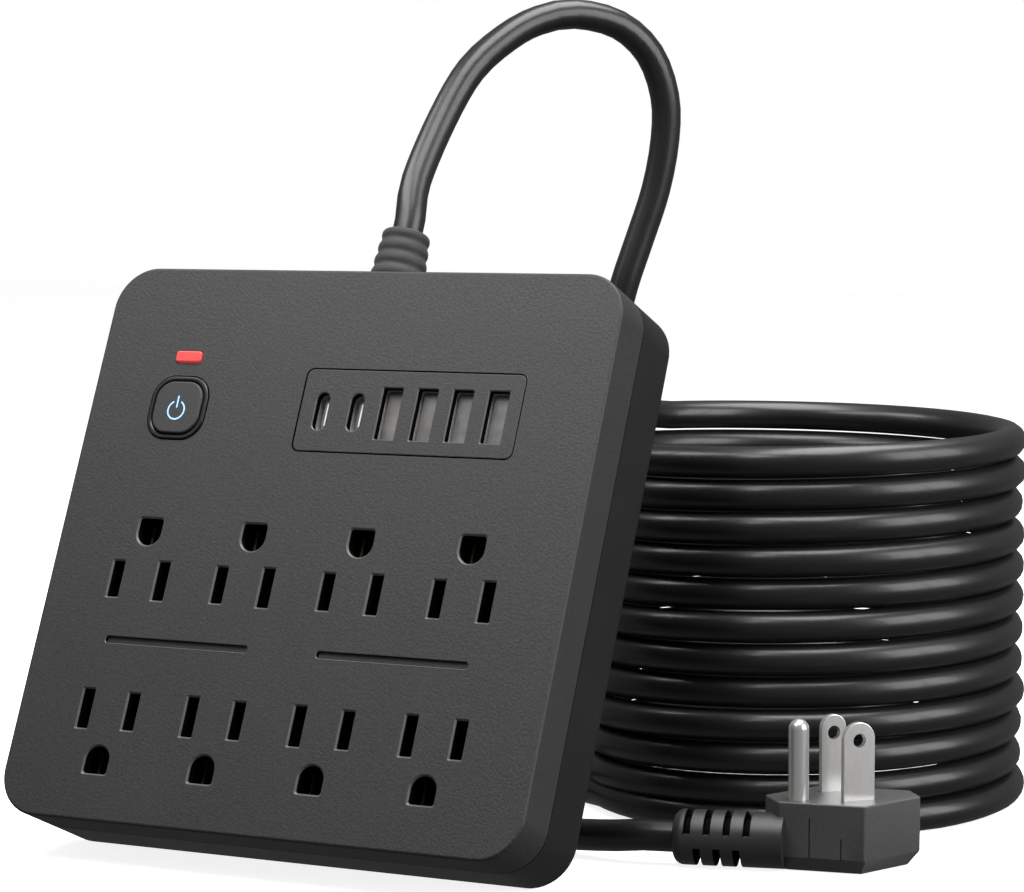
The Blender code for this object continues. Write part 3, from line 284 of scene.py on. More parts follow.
# painted shade: brass darkened so that the bus bars behind the slots read dark
SHADED_BRASS = Finish("brass_painted_shade", (0.32, 0.23, 0.11), 0.45, metallic=1.0, stretch=(0.1, 1.0, 1.0))
STEEL = Finish("zinc_steel", (0.46, 0.46, 0.47), 0.34, metallic=1.0, specks=0.08, grain=0.00002)
BOARD = Finish("solder_mask", (0.02, 0.16, 0.07), 0.42, specks=0.2, speck_scale=700.0)
EPOXY = Finish("dipped_epoxy", (0.03, 0.12, 0.42), 0.4, coat=0.2, grain=0.00008, grain_scale=500.0)
TAPE = Finish("polyester_tape", (0.65, 0.5, 0.08), 0.4, stretch=(1.0, 0.1, 1.0))
LENS = Finish(
    "red_lens", (0.6, 0.045, 0.04), 0.35, coat=0.1, glow=0.3, glow_colour=(1.0, 0.1, 0.1), **SMOOTH
)
GLOW = Finish("lit_symbol", (0.3, 0.5, 0.9), 0.3, specks=0.02, glow=0.75, glow_colour=(0.32, 0.6, 1.0))
LINE_WIRE = Finish("black_wire_sheath", (0.02, 0.02, 0.02), 0.4)
NEUTRAL_WIRE = Finish("white_wire_sheath", (0.75, 0.75, 0.73), 0.4)
GROUND_WIRE = Finish("green_wire_sheath", (0.03, 0.32, 0.08), 0.4)
PALE_FLOOR = Finish(
    "pale_floor", (0.93, 0.93, 0.93), 0.7, specks=0.005, drift=0.004, grain=0.00001, glow=0.85
)


# ---------------------------------------------------------------- modelling


def near(first: float, second: float) -> bool:
    """Whether two lengths in millimetres are the same."""
    return abs(first - second) < 0.01


def upright(edge: bmesh.types.BMEdge) -> bool:
    """Whether an edge runs along z."""
    first, second = (vertex.co for vertex in edge.verts)
    return near(first.x, second.x) and near(first.y, second.y)


def level(edge: bmesh.types.BMEdge) -> bool:
    """Whether an edge keeps one height."""
    return not upright(edge) and near(edge.verts[0].co.z, edge.verts[1].co.z)


def rim_at(height: float) -> EdgeTest:
    """A test for edges that lie at one height."""
    return lambda edge: all(near(vertex.co.z, height) for vertex in edge.verts)


def face_at(height: float) -> FaceTest:
    """A test for faces that lie at one height."""
    return lambda face: near(face.calc_center_median().z, height) and abs(face.normal.z) > 0.9


def broad_face_at(height: float, least: float) -> FaceTest:
    """A test for a face at one height whose area is over the least."""
    return lambda face: face_at(height)(face) and face.calc_area() > least


class Blank:
    """A mesh on the bench, in millimetres of its own drawing, which the edit tools shape."""

    def __init__(self, name: str) -> None:
        """Take up the object that an add operator has just made."""
        self.item = bpy.context.active_object
        self.item.name = name
        self.item.data.name = name
        bpy.ops.object.transform_apply(location=True, rotation=True, scale=True)

    def take_up(self) -> None:
        """Make this the one selected and active object."""
        clear_bench()
        self.item.select_set(True)
        bpy.context.view_layer.objects.active = self.item

    def pick(self, faces: FaceTest | None = None, edges: EdgeTest | None = None) -> None:
        """Open the mesh for editing with the faces or edges that pass a test selected.

        Args:
            faces: The test for a face.
            edges: The test for an edge, if no faces are wanted.
        """
        self.take_up()
        bpy.ops.object.mode_set(mode="EDIT")
        bpy.context.tool_settings.mesh_select_mode = (False, edges is not None, edges is None)
        bpy.ops.mesh.select_all(action="DESELECT")
        shape = bmesh.from_edit_mesh(self.item.data)
        shape.normal_update()
        if edges:
            for edge in shape.edges:
                edge.select_set(edges(edge))
        else:
            for face in shape.faces:
                face.select_set(faces(face))
        bmesh.update_edit_mesh(self.item.data)

    def close(self) -> "Blank":
        """Leave edit mode."""
        bpy.ops.object.mode_set(mode="OBJECT")
        return self

    def bevel(self, edges: EdgeTest, offset: float, steps: int) -> "Blank":
        """Round the chosen edges."""
        self.pick(edges=edges)
        bpy.ops.mesh.bevel(offset=offset, segments=steps, affect="EDGES", clamp_overlap=False)
        return self.close()

    def inset(self, faces: FaceTest, thickness: float, depth: float = 0.0) -> "Blank":
        """Draw the chosen faces inwards, and along their normal."""
        self.pick(faces=faces)
        bpy.ops.mesh.inset(thickness=thickness, depth=depth)
        return self.close()

    def extrude(
        self, faces: FaceTest, rise: float, scale: Point = (1.0, 1.0, 1.0), about: Point = (0.0, 0.0, 0.0)
    ) -> "Blank":
        """Pull the chosen faces along z, then resize them about a point.

        Args:
            faces: The test for a face.
            rise: How far they go.
            scale: What they are resized by.
            about: The point that they are resized about.

        Returns:
            This blank.
        """
        self.pick(faces=faces)
        bpy.ops.mesh.extrude_region_move(TRANSFORM_OT_translate={"value": (0.0, 0.0, rise)})
        if tuple(scale) != (1.0, 1.0, 1.0):
            bpy.ops.transform.resize(value=scale, center_override=about)
        return self.close()

    def combine(self, operation: str, other: "Blank") -> "Blank":
        """Cut another blank from this one, or join it to this one, and clear the other away."""
        self.take_up()
        modifier = self.item.modifiers.new(operation, "BOOLEAN")
        modifier.operation = operation
        modifier.solver = "EXACT"
        modifier.object = other.item
        bpy.ops.object.modifier_apply(modifier=modifier.name)
        bpy.data.objects.remove(other.item, do_unlink=True)
        return self

    def add(self, others: Iterable["Blank"]) -> "Blank":
        """Take other blanks into this mesh as loose shells."""
        self.take_up()
        for other in others:
            other.item.select_set(True)
        bpy.ops.object.join()
        return self

    def copy(self, name: str, shift: Point = (0.0, 0.0, 0.0)) -> "Blank":
        """A copy with its own mesh, moved by an offset."""
        self.take_up()
        bpy.ops.object.duplicate()
        bpy.ops.transform.translate(value=shift)
        return Blank(name)

    def turn_out(self) -> "Blank":
        """Point every face outwards."""
        self.pick(faces=lambda face: True)
        bpy.ops.mesh.remove_doubles(threshold=0.0005)
        bpy.ops.mesh.normals_make_consistent(inside=False)
        return self.close()

    def finish(
        self, place: Matrix, finish: Finish, body: Body, slot: str, nodes: Sequence[str],
        smooth: float = 32.0, zones: ZoneTest | None = None,
    ) -> bpy.types.Object:
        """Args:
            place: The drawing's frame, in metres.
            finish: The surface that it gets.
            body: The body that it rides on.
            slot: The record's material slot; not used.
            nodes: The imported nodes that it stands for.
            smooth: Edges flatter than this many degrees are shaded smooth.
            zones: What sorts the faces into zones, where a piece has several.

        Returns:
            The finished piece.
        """
        self.turn_out()
        faces = self.item.data.polygons
        marks = [zones(face.center, face.normal).value for face in faces] if zones else []
        self.item.data.transform(place @ Matrix.Scale(MM, 4))
        self.take_up()
        bpy.ops.object.shade_smooth_by_angle(angle=math.radians(smooth))
        modifier = self.item.modifiers.new("weighted", "WEIGHTED_NORMAL")
        modifier.keep_sharp = True
        bpy.ops.object.modifier_apply(modifier=modifier.name)
        declare(self.item, finish, body, nodes)
        # The openings' walls get painted shade and their lips a painted highlight.
        if zones:
            self.item.data.materials.append(PAINTED_SHADE_WELL.build())
            self.item.data.materials.append(PAINTED_HIGHLIGHT_LIP.build())
            self.item.data.polygons.foreach_set("material_index", marks)
        return self.item


def zone_of(middle: Vector, normal: Vector) -> Zone:
    """The zone of a cover's face: its skin, the wall of an opening, which gets painted shade, or the lip
    above it, which gets a painted highlight.
    """
    inside_the_rim = abs(middle.x) <= 66.0 and abs(middle.y) <= 65.0
    if not inside_the_rim or not -2.7 < middle.z < -0.02:
        return Zone.SKIN
    if abs(normal.z) < 0.5:
        return Zone.PAINTED_SHADE_WELL
    return Zone.PAINTED_HIGHLIGHT_LIP if normal.z < 0.9 and middle.z > -0.5 else Zone.SKIN


def clear_bench() -> None:
    """Leave edit mode and deselect everything."""
    if bpy.context.mode != "OBJECT":
        bpy.ops.object.mode_set(mode="OBJECT")
    bpy.ops.object.select_all(action="DESELECT")


def declare(
    item: bpy.types.Object, finish: Finish, body: Body, nodes: Sequence[str]
) -> bpy.types.Object:
    """Give a piece its finish, its body and the nodes that it stands for."""
    item.data.materials.clear()
    item.data.materials.append(finish.build())
    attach(item, body.value)
    if nodes:
        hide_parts(*nodes)
    faces = len(getattr(item.data, "polygons", ()))
    LOG.info("%s rides on %s, %d faces", item.name, body.value, faces)
    return item


def hand_out(
    pattern: Blank, shifts: Iterable[Point], name: str, finish: Finish, slot: str, node: str = ""
) -> None:
    """Finish a numbered copy of a pattern at each place, and clear the pattern away.

    Args:
        pattern: What is copied.
        shifts: Where each copy goes.
        name: The start of the copies' names.
        finish: The surface that they get.
        slot: The record's material slot, passed on to each copy's finish, which does not use it.
        node: The start of the names of the nodes that they stand for, if there are any.
    """
    for number, shift in enumerate(shifts, 1):
        copy = pattern.copy(f"{name}_{number}", shift)
        copy.finish(HOUSING, finish, Body.HOUSING, slot, [f"{node}_{number}"] if node else [])
    bpy.data.objects.remove(pattern.item, do_unlink=True)


def plate(
    name: str, size: Point, radius: float, low: float, high: float, centre: Point = (0.0, 0.0),
    steps: int = 6,
) -> Blank:
    """A slab with round upright corners.

    Args:
        name: The blank's name.
        size: Width and height across the slab.
        radius: The corners' radius, or zero for sharp ones.
        low: The height of its lower face.
        high: The height of its upper face.
        centre: The middle of the slab.
        steps: Segments in each corner.

    Returns:
        The slab.
    """
    clear_bench()
    middle = (centre[0], centre[1], (low + high) / 2)
    bpy.ops.mesh.primitive_cube_add(size=1.0, location=middle, scale=(size[0], size[1], high - low))
    blank = Blank(name)
    return blank.bevel(upright, min(radius, min(size) / 2 - 0.005), steps) if radius else blank


def flared(
    name: str, size: Point, radius: float, low: float, lip: float, centre: Point, steps: int = 3,
    level: float = 0.0,
) -> Blank:
    """A cutter that widens where it breaks the surface.

    Args:
        name: The cutter's name.
        size: Width and height of its straight part.
        radius: The corners' radius.
        low: The height of its lower face.
        lip: How much wider it gets on each side.
        centre: The middle of the cutter.
        steps: Segments in each corner.
        level: The height of the surface.

    Returns:
        The cutter.
    """
    cutter = plate(name, size, radius, low, level - lip, centre, steps)
    above = 0.5
    grow = 2 * (lip + above)
    wider = ((size[0] + grow) / size[0], (size[1] + grow) / size[1], 1.0)
    return cutter.extrude(face_at(level - lip), lip + above, wider, (centre[0], centre[1], level + above))


def outline_slab(name: str, outline: Sequence[Point], low: float, high: float) -> Blank:
    """A slab drawn from a disc whose points are moved onto an outline."""
    clear_bench()
    bpy.ops.mesh.primitive_circle_add(
        vertices=len(outline), radius=1.0, fill_type="NGON", location=(0.0, 0.0, low)
    )
    blank = Blank(name)
    for vertex, (x, y) in zip(blank.item.data.vertices, outline):
        vertex.co = (x, y, low)
    return blank.extrude(lambda face: True, high - low).turn_out()


def turned(name: str, profile: Sequence[Point], steps: int = 48) -> Blank:
    """A round solid drawn from a disc, pulled and resized from ring to ring.

    Args:
        name: The blank's name.
        profile: Radius and height of each ring.
        steps: Points round a ring.

    Returns:
        The solid, round the z axis.
    """
    clear_bench()
    radius, height = profile[0]
    bpy.ops.mesh.primitive_circle_add(
        vertices=steps, radius=radius, fill_type="NGON", location=(0.0, 0.0, height)
    )
    blank = Blank(name)
    blank.pick(faces=lambda face: True)
    for (radius, height), (wider, higher) in zip(profile, profile[1:]):
        bpy.ops.mesh.extrude_region_move(TRANSFORM_OT_translate={"value": (0.0, 0.0, higher - height)})
        share = wider / radius
        bpy.ops.transform.resize(value=(share, share, 1.0), center_override=(0.0, 0.0, higher))
    return blank.close().turn_out()


def moved(blank: Blank, shift: Point, turn: Matrix | None = None) -> Blank:
    """Move a blank, after turning it about the origin."""
    blank.item.data.transform(Matrix.Translation(shift) @ (turn or Matrix.Identity(4)))
    return blank


def merged(name: str, blanks: Sequence[Blank]) -> Blank:
    """Several loose blanks as one cutter."""
    first, *others = blanks
    first.item.name = name
    return first.add(others)


# ---------------------------------------------------------------- frames


def housing_place() -> Matrix:
    """The housing's own frame: x to the right, y up the face, z out of it, from the middle of the face."""
    mount = next(m for m in frame["record"]["mounts"] if m["name"] == "outlet_face")
    out = Vector(mount["axis"]).normalized()
    right = Vector((1.0, 0.0, 0.0))
    up = out.cross(right)
    turn = Matrix((right, up, out)).transposed().to_4x4()
    return Matrix.Translation(Vector((0.0, mount["pos_m"][1], mount["pos_m"][2]))) @ turn


HOUSING = housing_place()
PANEL_CENTRE = (19.2, 33.2)
PANEL_SIZE = (58.0, 20.2)
SWITCH_CENTRE = (-43.7, 32.5)
LAMP_CENTRE = (-43.8, 45.4)
CORD_DEPTH = 14.0
SLEEVE_FOOT = (-18.3, 2.5, 6.6)
SLEEVE_TURN = 144.0
PLUG_TURN = math.radians(50.0)
PLUG = Matrix.Translation((0.1112, 0.0409, 0.0)) @ Matrix.Rotation(PLUG_TURN, 4, "Z")


# ---------------------------------------------------------------- camera, floor and light


@dataclass
class Studio:
    """The camera, a pale floor and soft lights."""

    place: tuple[float, float, float] = (0.4010, -0.65175, 0.15422)
    turn: tuple[float, float, float] = (85.0, 0.0, 27.0)
    lens: float = 116.07
    shift: tuple[float, float] = (-0.0859, 0.0332)
    ambient: float = 0.14
    panels: tuple[tuple[str, Point, Point, Point, float], ...] = (
        ("overhead", (0.2, 0.1, 1.0), (0.07, 0.1, 0.08), (1.0, 0.6), 15.0),
        ("key", (-0.12, -0.14, 0.42), (0.0, 0.02, 0.15), (0.5, 0.14), 1.55),
        ("left_panel", (-0.95, -0.75, 0.75), (0.02, 0.05, 0.08), (0.35, 0.8), 0.9),
        ("right_panel", (1.1, -0.12, 0.45), (0.12, 0.1, 0.05), (0.35, 0.9), 6.0),
        ("rim_panel", (1.2, 0.32, 0.5), (0.1, 0.12, 0.06), (0.4, 0.9), 6.0),
    )

    def set_camera(self) -> None:
        """Place the camera at the object's usual angle."""
        data = bpy.data.cameras.new("camera")
        data.lens = self.lens
        data.sensor_width = 36.0
        data.sensor_fit = "HORIZONTAL"
        data.shift_x, data.shift_y = self.shift
        data.clip_start, data.clip_end = 0.01, 50.0
        camera = bpy.data.objects.new("camera", data)
        bpy.context.scene.collection.objects.link(camera)
        camera.location = self.place
        camera.rotation_euler = [math.radians(angle) for angle in self.turn]
        bpy.context.scene.camera = camera

    def lay_floor(self) -> None:
        """Lay the pale floor that everything stands on."""
        clear_bench()
        bpy.ops.mesh.primitive_plane_add(size=8.0, location=(0.0, 0.0, -0.0002))
        floor = bpy.context.active_object
        floor.name = "floor"
        floor.data.materials.append(PALE_FLOOR.build())
        floor.visible_glossy = False
        floor.visible_diffuse = False

    def add_light(self, name: str, place: Point, target: Point, size: Point, power: float) -> None:
        """Hang one soft panel of light.

        Args:
            name: The light's name.
            place: Where it hangs.
            target: The point that it faces.
            size: Its width and height.
            power: Its power in watts.
        """
        data = bpy.data.lights.new(name, "AREA")
        data.shape = "RECTANGLE"
        data.size, data.size_y = size
        data.energy = power
        light = bpy.data.objects.new(name, data)
        bpy.context.scene.collection.objects.link(light)
        light.location = place
        light.rotation_euler = (Vector(target) - Vector(place)).to_track_quat("-Z", "Y").to_euler()

    def light_up(self) -> None:
        """Set the soft panels and the pale surroundings."""
        for name, place, target, size, power in self.panels:
            self.add_light(name, place, target, size, power)
        world = bpy.data.worlds.new("surroundings")
        bpy.context.scene.world = world
        world.use_nodes = True
        tree = world.node_tree
        background = tree.nodes["Background"]
        rays = tree.nodes.new("ShaderNodeLightPath")
        strength = tree.nodes.new("ShaderNodeMapRange")
        tree.links.new(rays.outputs["Is Camera Ray"], strength.inputs["Value"])
        strength.inputs["To Min"].default_value = self.ambient
        strength.inputs["To Max"].default_value = 1.0
        tree.links.new(strength.outputs["Result"], background.inputs["Strength"])
        background.inputs["Color"].default_value = (1.0, 1.0, 1.0, 1.0)
        bpy.context.scene.view_settings.view_transform = "Standard"

    def build(self) -> None:
        """Set up the whole studio."""
        self.set_camera()
        self.lay_floor()
        self.light_up()


# ---------------------------------------------------------------- cord


def smooth_run(points: Sequence[Point], spacing: float) -> list[Vector]:
    """Points about a spacing apart on a smooth curve through the given ones."""
    knots = [Vector(point) for point in points]
    knots = [knots[0] * 2 - knots[1], *knots, knots[-1] * 2 - knots[-2]]
    run: list[Vector] = []
    for a, b, c, d in zip(knots, knots[1:], knots[2:], knots[3:]):
        steps = max(1, round((c - b).length / spacing))
        for step in range(steps):
            t = step / steps
            square, cube = (2 * a - 5 * b + 4 * c - d) * t * t, (3 * b - a - 3 * c + d) * t**3
            run.append(0.5 * (2 * b + (c - a) * t + square + cube))
    run.append(knots[-2])
    return run


@dataclass
class Cord:
    """The mains cord: out of its boot, over an arch, down into a round coil and on to the plug. Metres."""

    diameter: float = 0.0074
    stated_length: float = 4.57
    coil_centre: tuple[float, float] = (0.0676, 0.115)
    coil_radius: float = 0.0525
    top: float = 0.0950
    bottom: float = 0.0039
    start_angle: float = 155.0
    end_angle: float = 225.0
    full_turns: int = 12
    flat_turns: float = 0.3
    steps_a_turn: int = 60
    wander: float = 0.00035
    spacing: float = 0.004
    coil_swell: float = 0.045  # how much thicker the coil is drawn, so that its turns nearly touch
    arch: tuple[Point, ...] = (
        (-0.0012, 0.0401, 0.1567), (-0.0002, 0.0511, 0.1717), (0.0026, 0.0605, 0.1839),
        (0.0076, 0.0694, 0.1919), (0.0126, 0.0770, 0.1964), (0.0187, 0.0847, 0.1982),
        (0.0262, 0.0940, 0.1958), (0.0316, 0.1007, 0.1888), (0.0338, 0.1050, 0.1783),
        (0.0333, 0.1063, 0.1675), (0.0310, 0.1056, 0.1545), (0.0272, 0.1033, 0.1410),
        (0.0242, 0.1012, 0.1302), (0.0212, 0.1012, 0.1186), (0.0194, 0.1043, 0.1110),
        (0.0180, 0.1090, 0.1049), (0.0171, 0.1156, 0.1000), (0.0168, 0.1248, 0.0967),
    )
    lead: tuple[Point, ...] = (
        (0.0256, 0.0816, 0.0036), (0.0202, 0.0846, 0.0036), (0.0145, 0.0864, 0.0037),
        (0.0077, 0.0871, 0.0037), (-0.0060, 0.0840, 0.0037), (-0.0175, 0.0746, 0.0037),
        (-0.0240, 0.0605, 0.0037), (-0.0232, 0.0450, 0.0037), (-0.0155, 0.0328, 0.0037),
        (-0.0035, 0.0252, 0.0037), (0.0100, 0.0232, 0.0037), (0.0230, 0.0242, 0.0037),
        (0.0350, 0.0252, 0.0038), (0.0450, 0.0246, 0.0042), (0.0540, 0.0226, 0.0050),
        (0.0625, 0.0209, 0.0059),
    )

    def exit(self) -> Vector:
        """Where the cord leaves its boot."""
        return HOUSING @ (Vector((0.0, 83.55, -CORD_DEPTH)) * MM)

    def coil(self) -> list[Vector]:
        """The coil's turns, from its top down to the floor."""
        sweep = self.start_angle - self.end_angle + 360.0 * self.full_turns
        turns = sweep / 360.0
        pitch = (self.top - self.bottom) / (turns - self.flat_turns)
        steps = round(turns * self.steps_a_turn)
        points = []
        for step in range(steps + 1):
            done = turns * step / steps
            angle = math.radians(self.start_angle - 360.0 * done)
            fade = min(1.0, done * 4.0, (turns - done) * 4.0)
            sway = math.sin(2.3 * done * math.tau + 0.7) + math.sin(0.37 * done * math.tau)
            radius = self.coil_radius + fade * self.wander * sway
            height = self.bottom + pitch * max(0.0, turns - done - self.flat_turns)
            x = self.coil_centre[0] + radius * math.cos(angle)
            y = self.coil_centre[1] + radius * math.sin(angle)
            points.append(Vector((x, y, height)))
        return points

    def route(self) -> tuple[list[Vector], range]:
        """The cord's whole centreline, and which of its points lie on the coil."""
        up = (HOUSING.to_3x3() @ Vector((0.0, 1.0, 0.0))).normalized()
        start = self.exit() - up * 0.0035
        coil = self.coil()
        above = self.exit() + up * self.diameter / 2
        arch = smooth_run([start, self.exit(), above, *self.arch, coil[0], coil[3]], self.spacing)
        end = PLUG @ Vector(tuple(value * MM for value in SLEEVE_FOOT))
        turn = math.radians(SLEEVE_TURN)
        way = PLUG.to_3x3() @ Vector((math.cos(turn), math.sin(turn), 0.0))
        mouth = end + way * 22.0 * MM
        inlet = [mouth + way * 0.0072, mouth + way * 0.0036, mouth, mouth - way * 0.003]
        lead = smooth_run([coil[-4], coil[-1], *self.lead, *inlet], self.spacing)
        first = next(index for index, point in enumerate(arch) if (point - coil[0]).length < 1e-6)
        last = next(index for index, point in enumerate(lead) if (point - coil[-1]).length < 1e-6)
        return [*arch[:first], *coil, *lead[last + 1:]], range(first, first + len(coil))

    def build(self) -> bpy.types.Object:
        points, wound = self.route()
        curve = bpy.data.curves.new("power_cord", "CURVE")
        curve.dimensions = "3D"
        curve.bevel_depth = self.diameter / 2
        curve.bevel_resolution = 6
        curve.use_fill_caps = True
        spline = curve.splines.new("POLY")
        spline.points.add(len(points) - 1)
        for index, (target, point) in enumerate(zip(spline.points, points)):
            target.co = (*point, 1.0)
            inward = min(index - wound.start, wound.stop - 1 - index) / self.steps_a_turn
            target.radius = 1.0 + self.coil_swell * min(1.0, max(0.0, inward * 4.0))
        spline.use_smooth = True
        item = bpy.data.objects.new("power_cord", curve)
        bpy.context.scene.collection.objects.link(item)
        declare(item, SHEATH, Body.HOUSING, ("power_cord_loop", "cord_coil", "power_cord_lead"))
        length = sum((b - a).length for a, b in zip(points, points[1:]))
        LOG.info("cord is %.3f m long with %d points", length, len(points))
        return item

    def declare(self, item: bpy.types.Object, pieces: Sequence[bpy.types.Object]) -> None:
        """Take the cord and the plug's pieces, and do nothing with them."""


# ---------------------------------------------------------------- housing


@dataclass
class Housing:
    """The two covers, with the outlets' openings, screws and feet. Millimetres, as in every class below."""

    width: float = 138.0
    height: float = 136.5
    depth: float = 28.0
    corner: float = 10.5
    wall: float = 2.5
    seam: float = 12.0
    rim: float = 0.7
    back_round: float = 1.8
    pitch: float = 28.9
    centre_x: float = -0.5
    rows: tuple[tuple[float, int], ...] = ((-10.4, 1), (-42.0, -1))
    blade_spacing: float = 12.7
    ground_offset: float = 11.9
    slot: float = 3.0
    slot_heights: tuple[float, float] = (8.8, 9.4)
    ground_size: tuple[float, float] = (6.4, 6.6)
    lip: float = 0.4
    boss: tuple[float, float] = (60.5, 60.0)
    foot: tuple[float, float] = (48.0, 51.0)
    foot_radius: float = 5.6
    keyhole: tuple[float, float] = (40.0, -20.0)

    def shell(self, name: str, low: float, high: float) -> Blank:
        """A solid slab in the housing's outline."""
        return plate(name, (self.width, self.height), self.corner, low, high, steps=16)

    def corners(self, place: tuple[float, float]) -> list[tuple[float, float]]:
        """The four mirrored places of a corner."""
        return [(x, y) for y in (-place[1], place[1]) for x in (-place[0], place[0])]

    def outlets(self) -> list[tuple[float, float, int]]:
        """Each outlet's middle, and which way its ground hole lies."""
        columns = [self.centre_x + (column - 1.5) * self.pitch for column in range(4)]
        return [(x, row, way) for row, way in self.rows for x in columns]

    def ground_outline(self, way: int) -> list[tuple[float, float]]:
        """A round-bottomed hole whose flat side faces away from the blades."""
        radius = self.ground_size[0] / 2
        flat = self.ground_size[1] - radius
        points = [(radius, flat - 0.7), (radius - 0.2, flat - 0.2), (radius - 0.7, flat),
                  (0.7 - radius, flat), (0.2 - radius, flat - 0.2), (-radius, flat - 0.7)]
        for step in range(17):
            angle = math.pi + math.pi * step / 16
            points.append((radius * math.cos(angle), radius * math.sin(angle)))
        middle = (self.ground_size[1] - 2 * radius) / 2
        return [(way * x, way * (y - middle)) for x, y in points]

    def ground_cutter(self, x: float, y: float, way: int) -> Blank:
        """The cutter for one ground hole, widening at the face."""
        outline = self.ground_outline(way)
        cutter = outline_slab("ground_cutter", outline, -self.wall - 2.0, -self.lip)
        grow = 1.0 + 2 * (self.lip + 0.5) / self.ground_size[0]
        cutter.extrude(face_at(-self.lip), self.lip + 0.5, (grow, grow, 1.0), (0.0, 0.0, 0.5))
        return moved(cutter, (x, y, 0.0))

    def outlet_cutters(self) -> list[Blank]:
        """Cutters for every slot and ground hole."""
        cutters = []
        for x, y, way in self.outlets():
            for side, height in zip((-1, 1), self.slot_heights):
                centre = (x + way * side * self.blade_spacing / 2, y)
                cutters.append(flared("slot", (self.slot, height), 0.3, -self.wall - 2.0, self.lip, centre))
            cutters.append(self.ground_cutter(x, y + way * self.ground_offset, way))
        return cutters

    def gland_cutter(self) -> Blank:
        """The hole through the top wall for the cord's boot."""
        tool = turned("gland_cutter", [(5.1, 60.0), (5.1, 74.0)], 40)
        return moved(tool, (0.0, 0.0, -CORD_DEPTH), Matrix.Rotation(-math.pi / 2, 4, "X"))

    def front(self) -> bpy.types.Object:
        """The front cover."""
        low = -self.seam + CLEARANCE / 2
        body = self.shell("front_case", low, 0.0)
        body.bevel(rim_at(0.0), self.rim, 4)
        body.inset(face_at(low), self.wall)
        body.extrude(broad_face_at(low, 5000.0), -low - self.wall)
        for x, y in self.corners(self.boss):
            body.combine("UNION", moved(turned("boss", [(3.5, low), (3.5, -2.3)], 32), (x, y, 0.0)))
        cutters = self.outlet_cutters()
        for x, y in self.corners(self.boss):
            cutters.append(moved(turned("pilot", [(1.8, low - 1.0), (1.8, -4.5)], 24), (x, y, 0.0)))
        cutters.append(plate("panel_cutter", (58.6, 20.8), 2.1, -5.0, 1.0, PANEL_CENTRE))
        cutters.append(plate("bezel_cutter", (16.3, 16.3), 5.9, -5.0, 1.0, SWITCH_CENTRE, 8))
        cutters.append(plate("lens_cutter", (7.5, 3.2), 0.9, -5.0, 1.0, LAMP_CENTRE, 8))
        for x in (-29.5, 28.2):
            cutters.append(flared("groove", (39.2, 1.7), 0.75, -0.8, 0.15, (x, -25.2), 5))
        cutters.append(self.gland_cutter())
        body.combine("DIFFERENCE", merged("front_cutters", cutters))
        return body.finish(HOUSING, FACE, Body.HOUSING, "shell", ["front_cover"], zones=zone_of)

    def keyhole_outline(self) -> list[tuple[float, float]]:
        """A round hole for a screw's head with a narrow slot above it."""
        half, radius, rise = 2.1, 4.0, 9.0
        start = math.asin(half / radius)
        points = [(half, rise - 1.0), (half * 0.6, rise), (-half * 0.6, rise), (-half, rise - 1.0)]
        for step in range(29):
            angle = math.pi / 2 + start + (math.tau - 2 * start) * step / 28
            points.append((radius * math.cos(angle), radius * math.sin(angle)))
        return points

    def rear(self) -> bpy.types.Object:
        """The rear cover."""
        high = -self.seam - CLEARANCE / 2
        body = self.shell("rear_case", -self.depth, high)
        body.bevel(rim_at(-self.depth), self.back_round, 6)
        body.inset(face_at(high), self.wall)
        body.extrude(broad_face_at(high, 5000.0), -self.depth + self.wall - high)
        for x, y in self.corners(self.boss):
            body.combine("UNION", moved(turned("boss", [(4.4, -26.0), (4.4, high)], 32), (x, y, 0.0)))
        cutters = []
        for x, y in self.corners(self.boss):
            bore = [(3.05, -29.0), (3.05, -24.5), (1.8, -24.5), (1.8, high + 1.0)]
            cutters.append(moved(turned("bore", bore, 32), (x, y, 0.0)))
        for x, y in self.corners(self.foot):
            cutters.append(moved(turned("pocket", [(5.9, -29.0), (5.9, -27.2)], 48), (x, y, 0.0)))
        for side in (-1, 1):
            tool = outline_slab("keyhole_cutter", self.keyhole_outline(), -29.0, -24.5)
            cutters.append(moved(tool, (side * self.keyhole[0], self.keyhole[1], 0.0)))
        cutters.append(self.gland_cutter())
        body.combine("DIFFERENCE", merged("rear_cutters", cutters))
        return body.finish(HOUSING, SHADED_BACK, Body.HOUSING, "shell", ["rear_cover"])

    def feet(self) -> None:
        """Four round feet with a moulded ring."""
        radius = self.foot_radius
        pattern = turned("foot", [
            (radius, -27.5), (radius, -28.8), (radius - 0.12, -29.05), (radius - 0.4, -29.2),
            (radius - 1.3, -29.2), (radius - 1.5, -28.95), (radius - 2.1, -28.95), (radius - 2.3, -29.2),
            (0.4, -29.2),
        ], 56)
        shifts = [(x, y, 0.0) for x, y in self.corners(self.foot)]
        hand_out(pattern, shifts, "foot", RUBBER, "rubber", "rubber_foot")

    def screws(self) -> None:
        """Four pan-head screws with a cross recess."""
        pattern = turned("screw", [
            (0.6, -6.0), (1.5, -7.5), (1.5, -24.8), (2.75, -24.8), (2.75, -26.0), (2.6, -26.35), (2.1, -26.6),
        ], 32)
        for size in ((3.2, 0.75), (0.75, 3.2)):
            pattern.combine("DIFFERENCE", plate("recess", size, 0.0, -27.0, -25.5))
        shifts = [(x, y, 0.0) for x, y in self.corners(self.boss)]
        hand_out(pattern, shifts, "screw", STEEL, "steel", "housing_screw")

    def build(self) -> None:
        """Make the covers, the feet and the screws."""
        self.front()
        self.rear()
        self.feet()
        self.screws()


# ---------------------------------------------------------------- USB ports


C_ROUND = 1.69
A_ROUND = 0.35


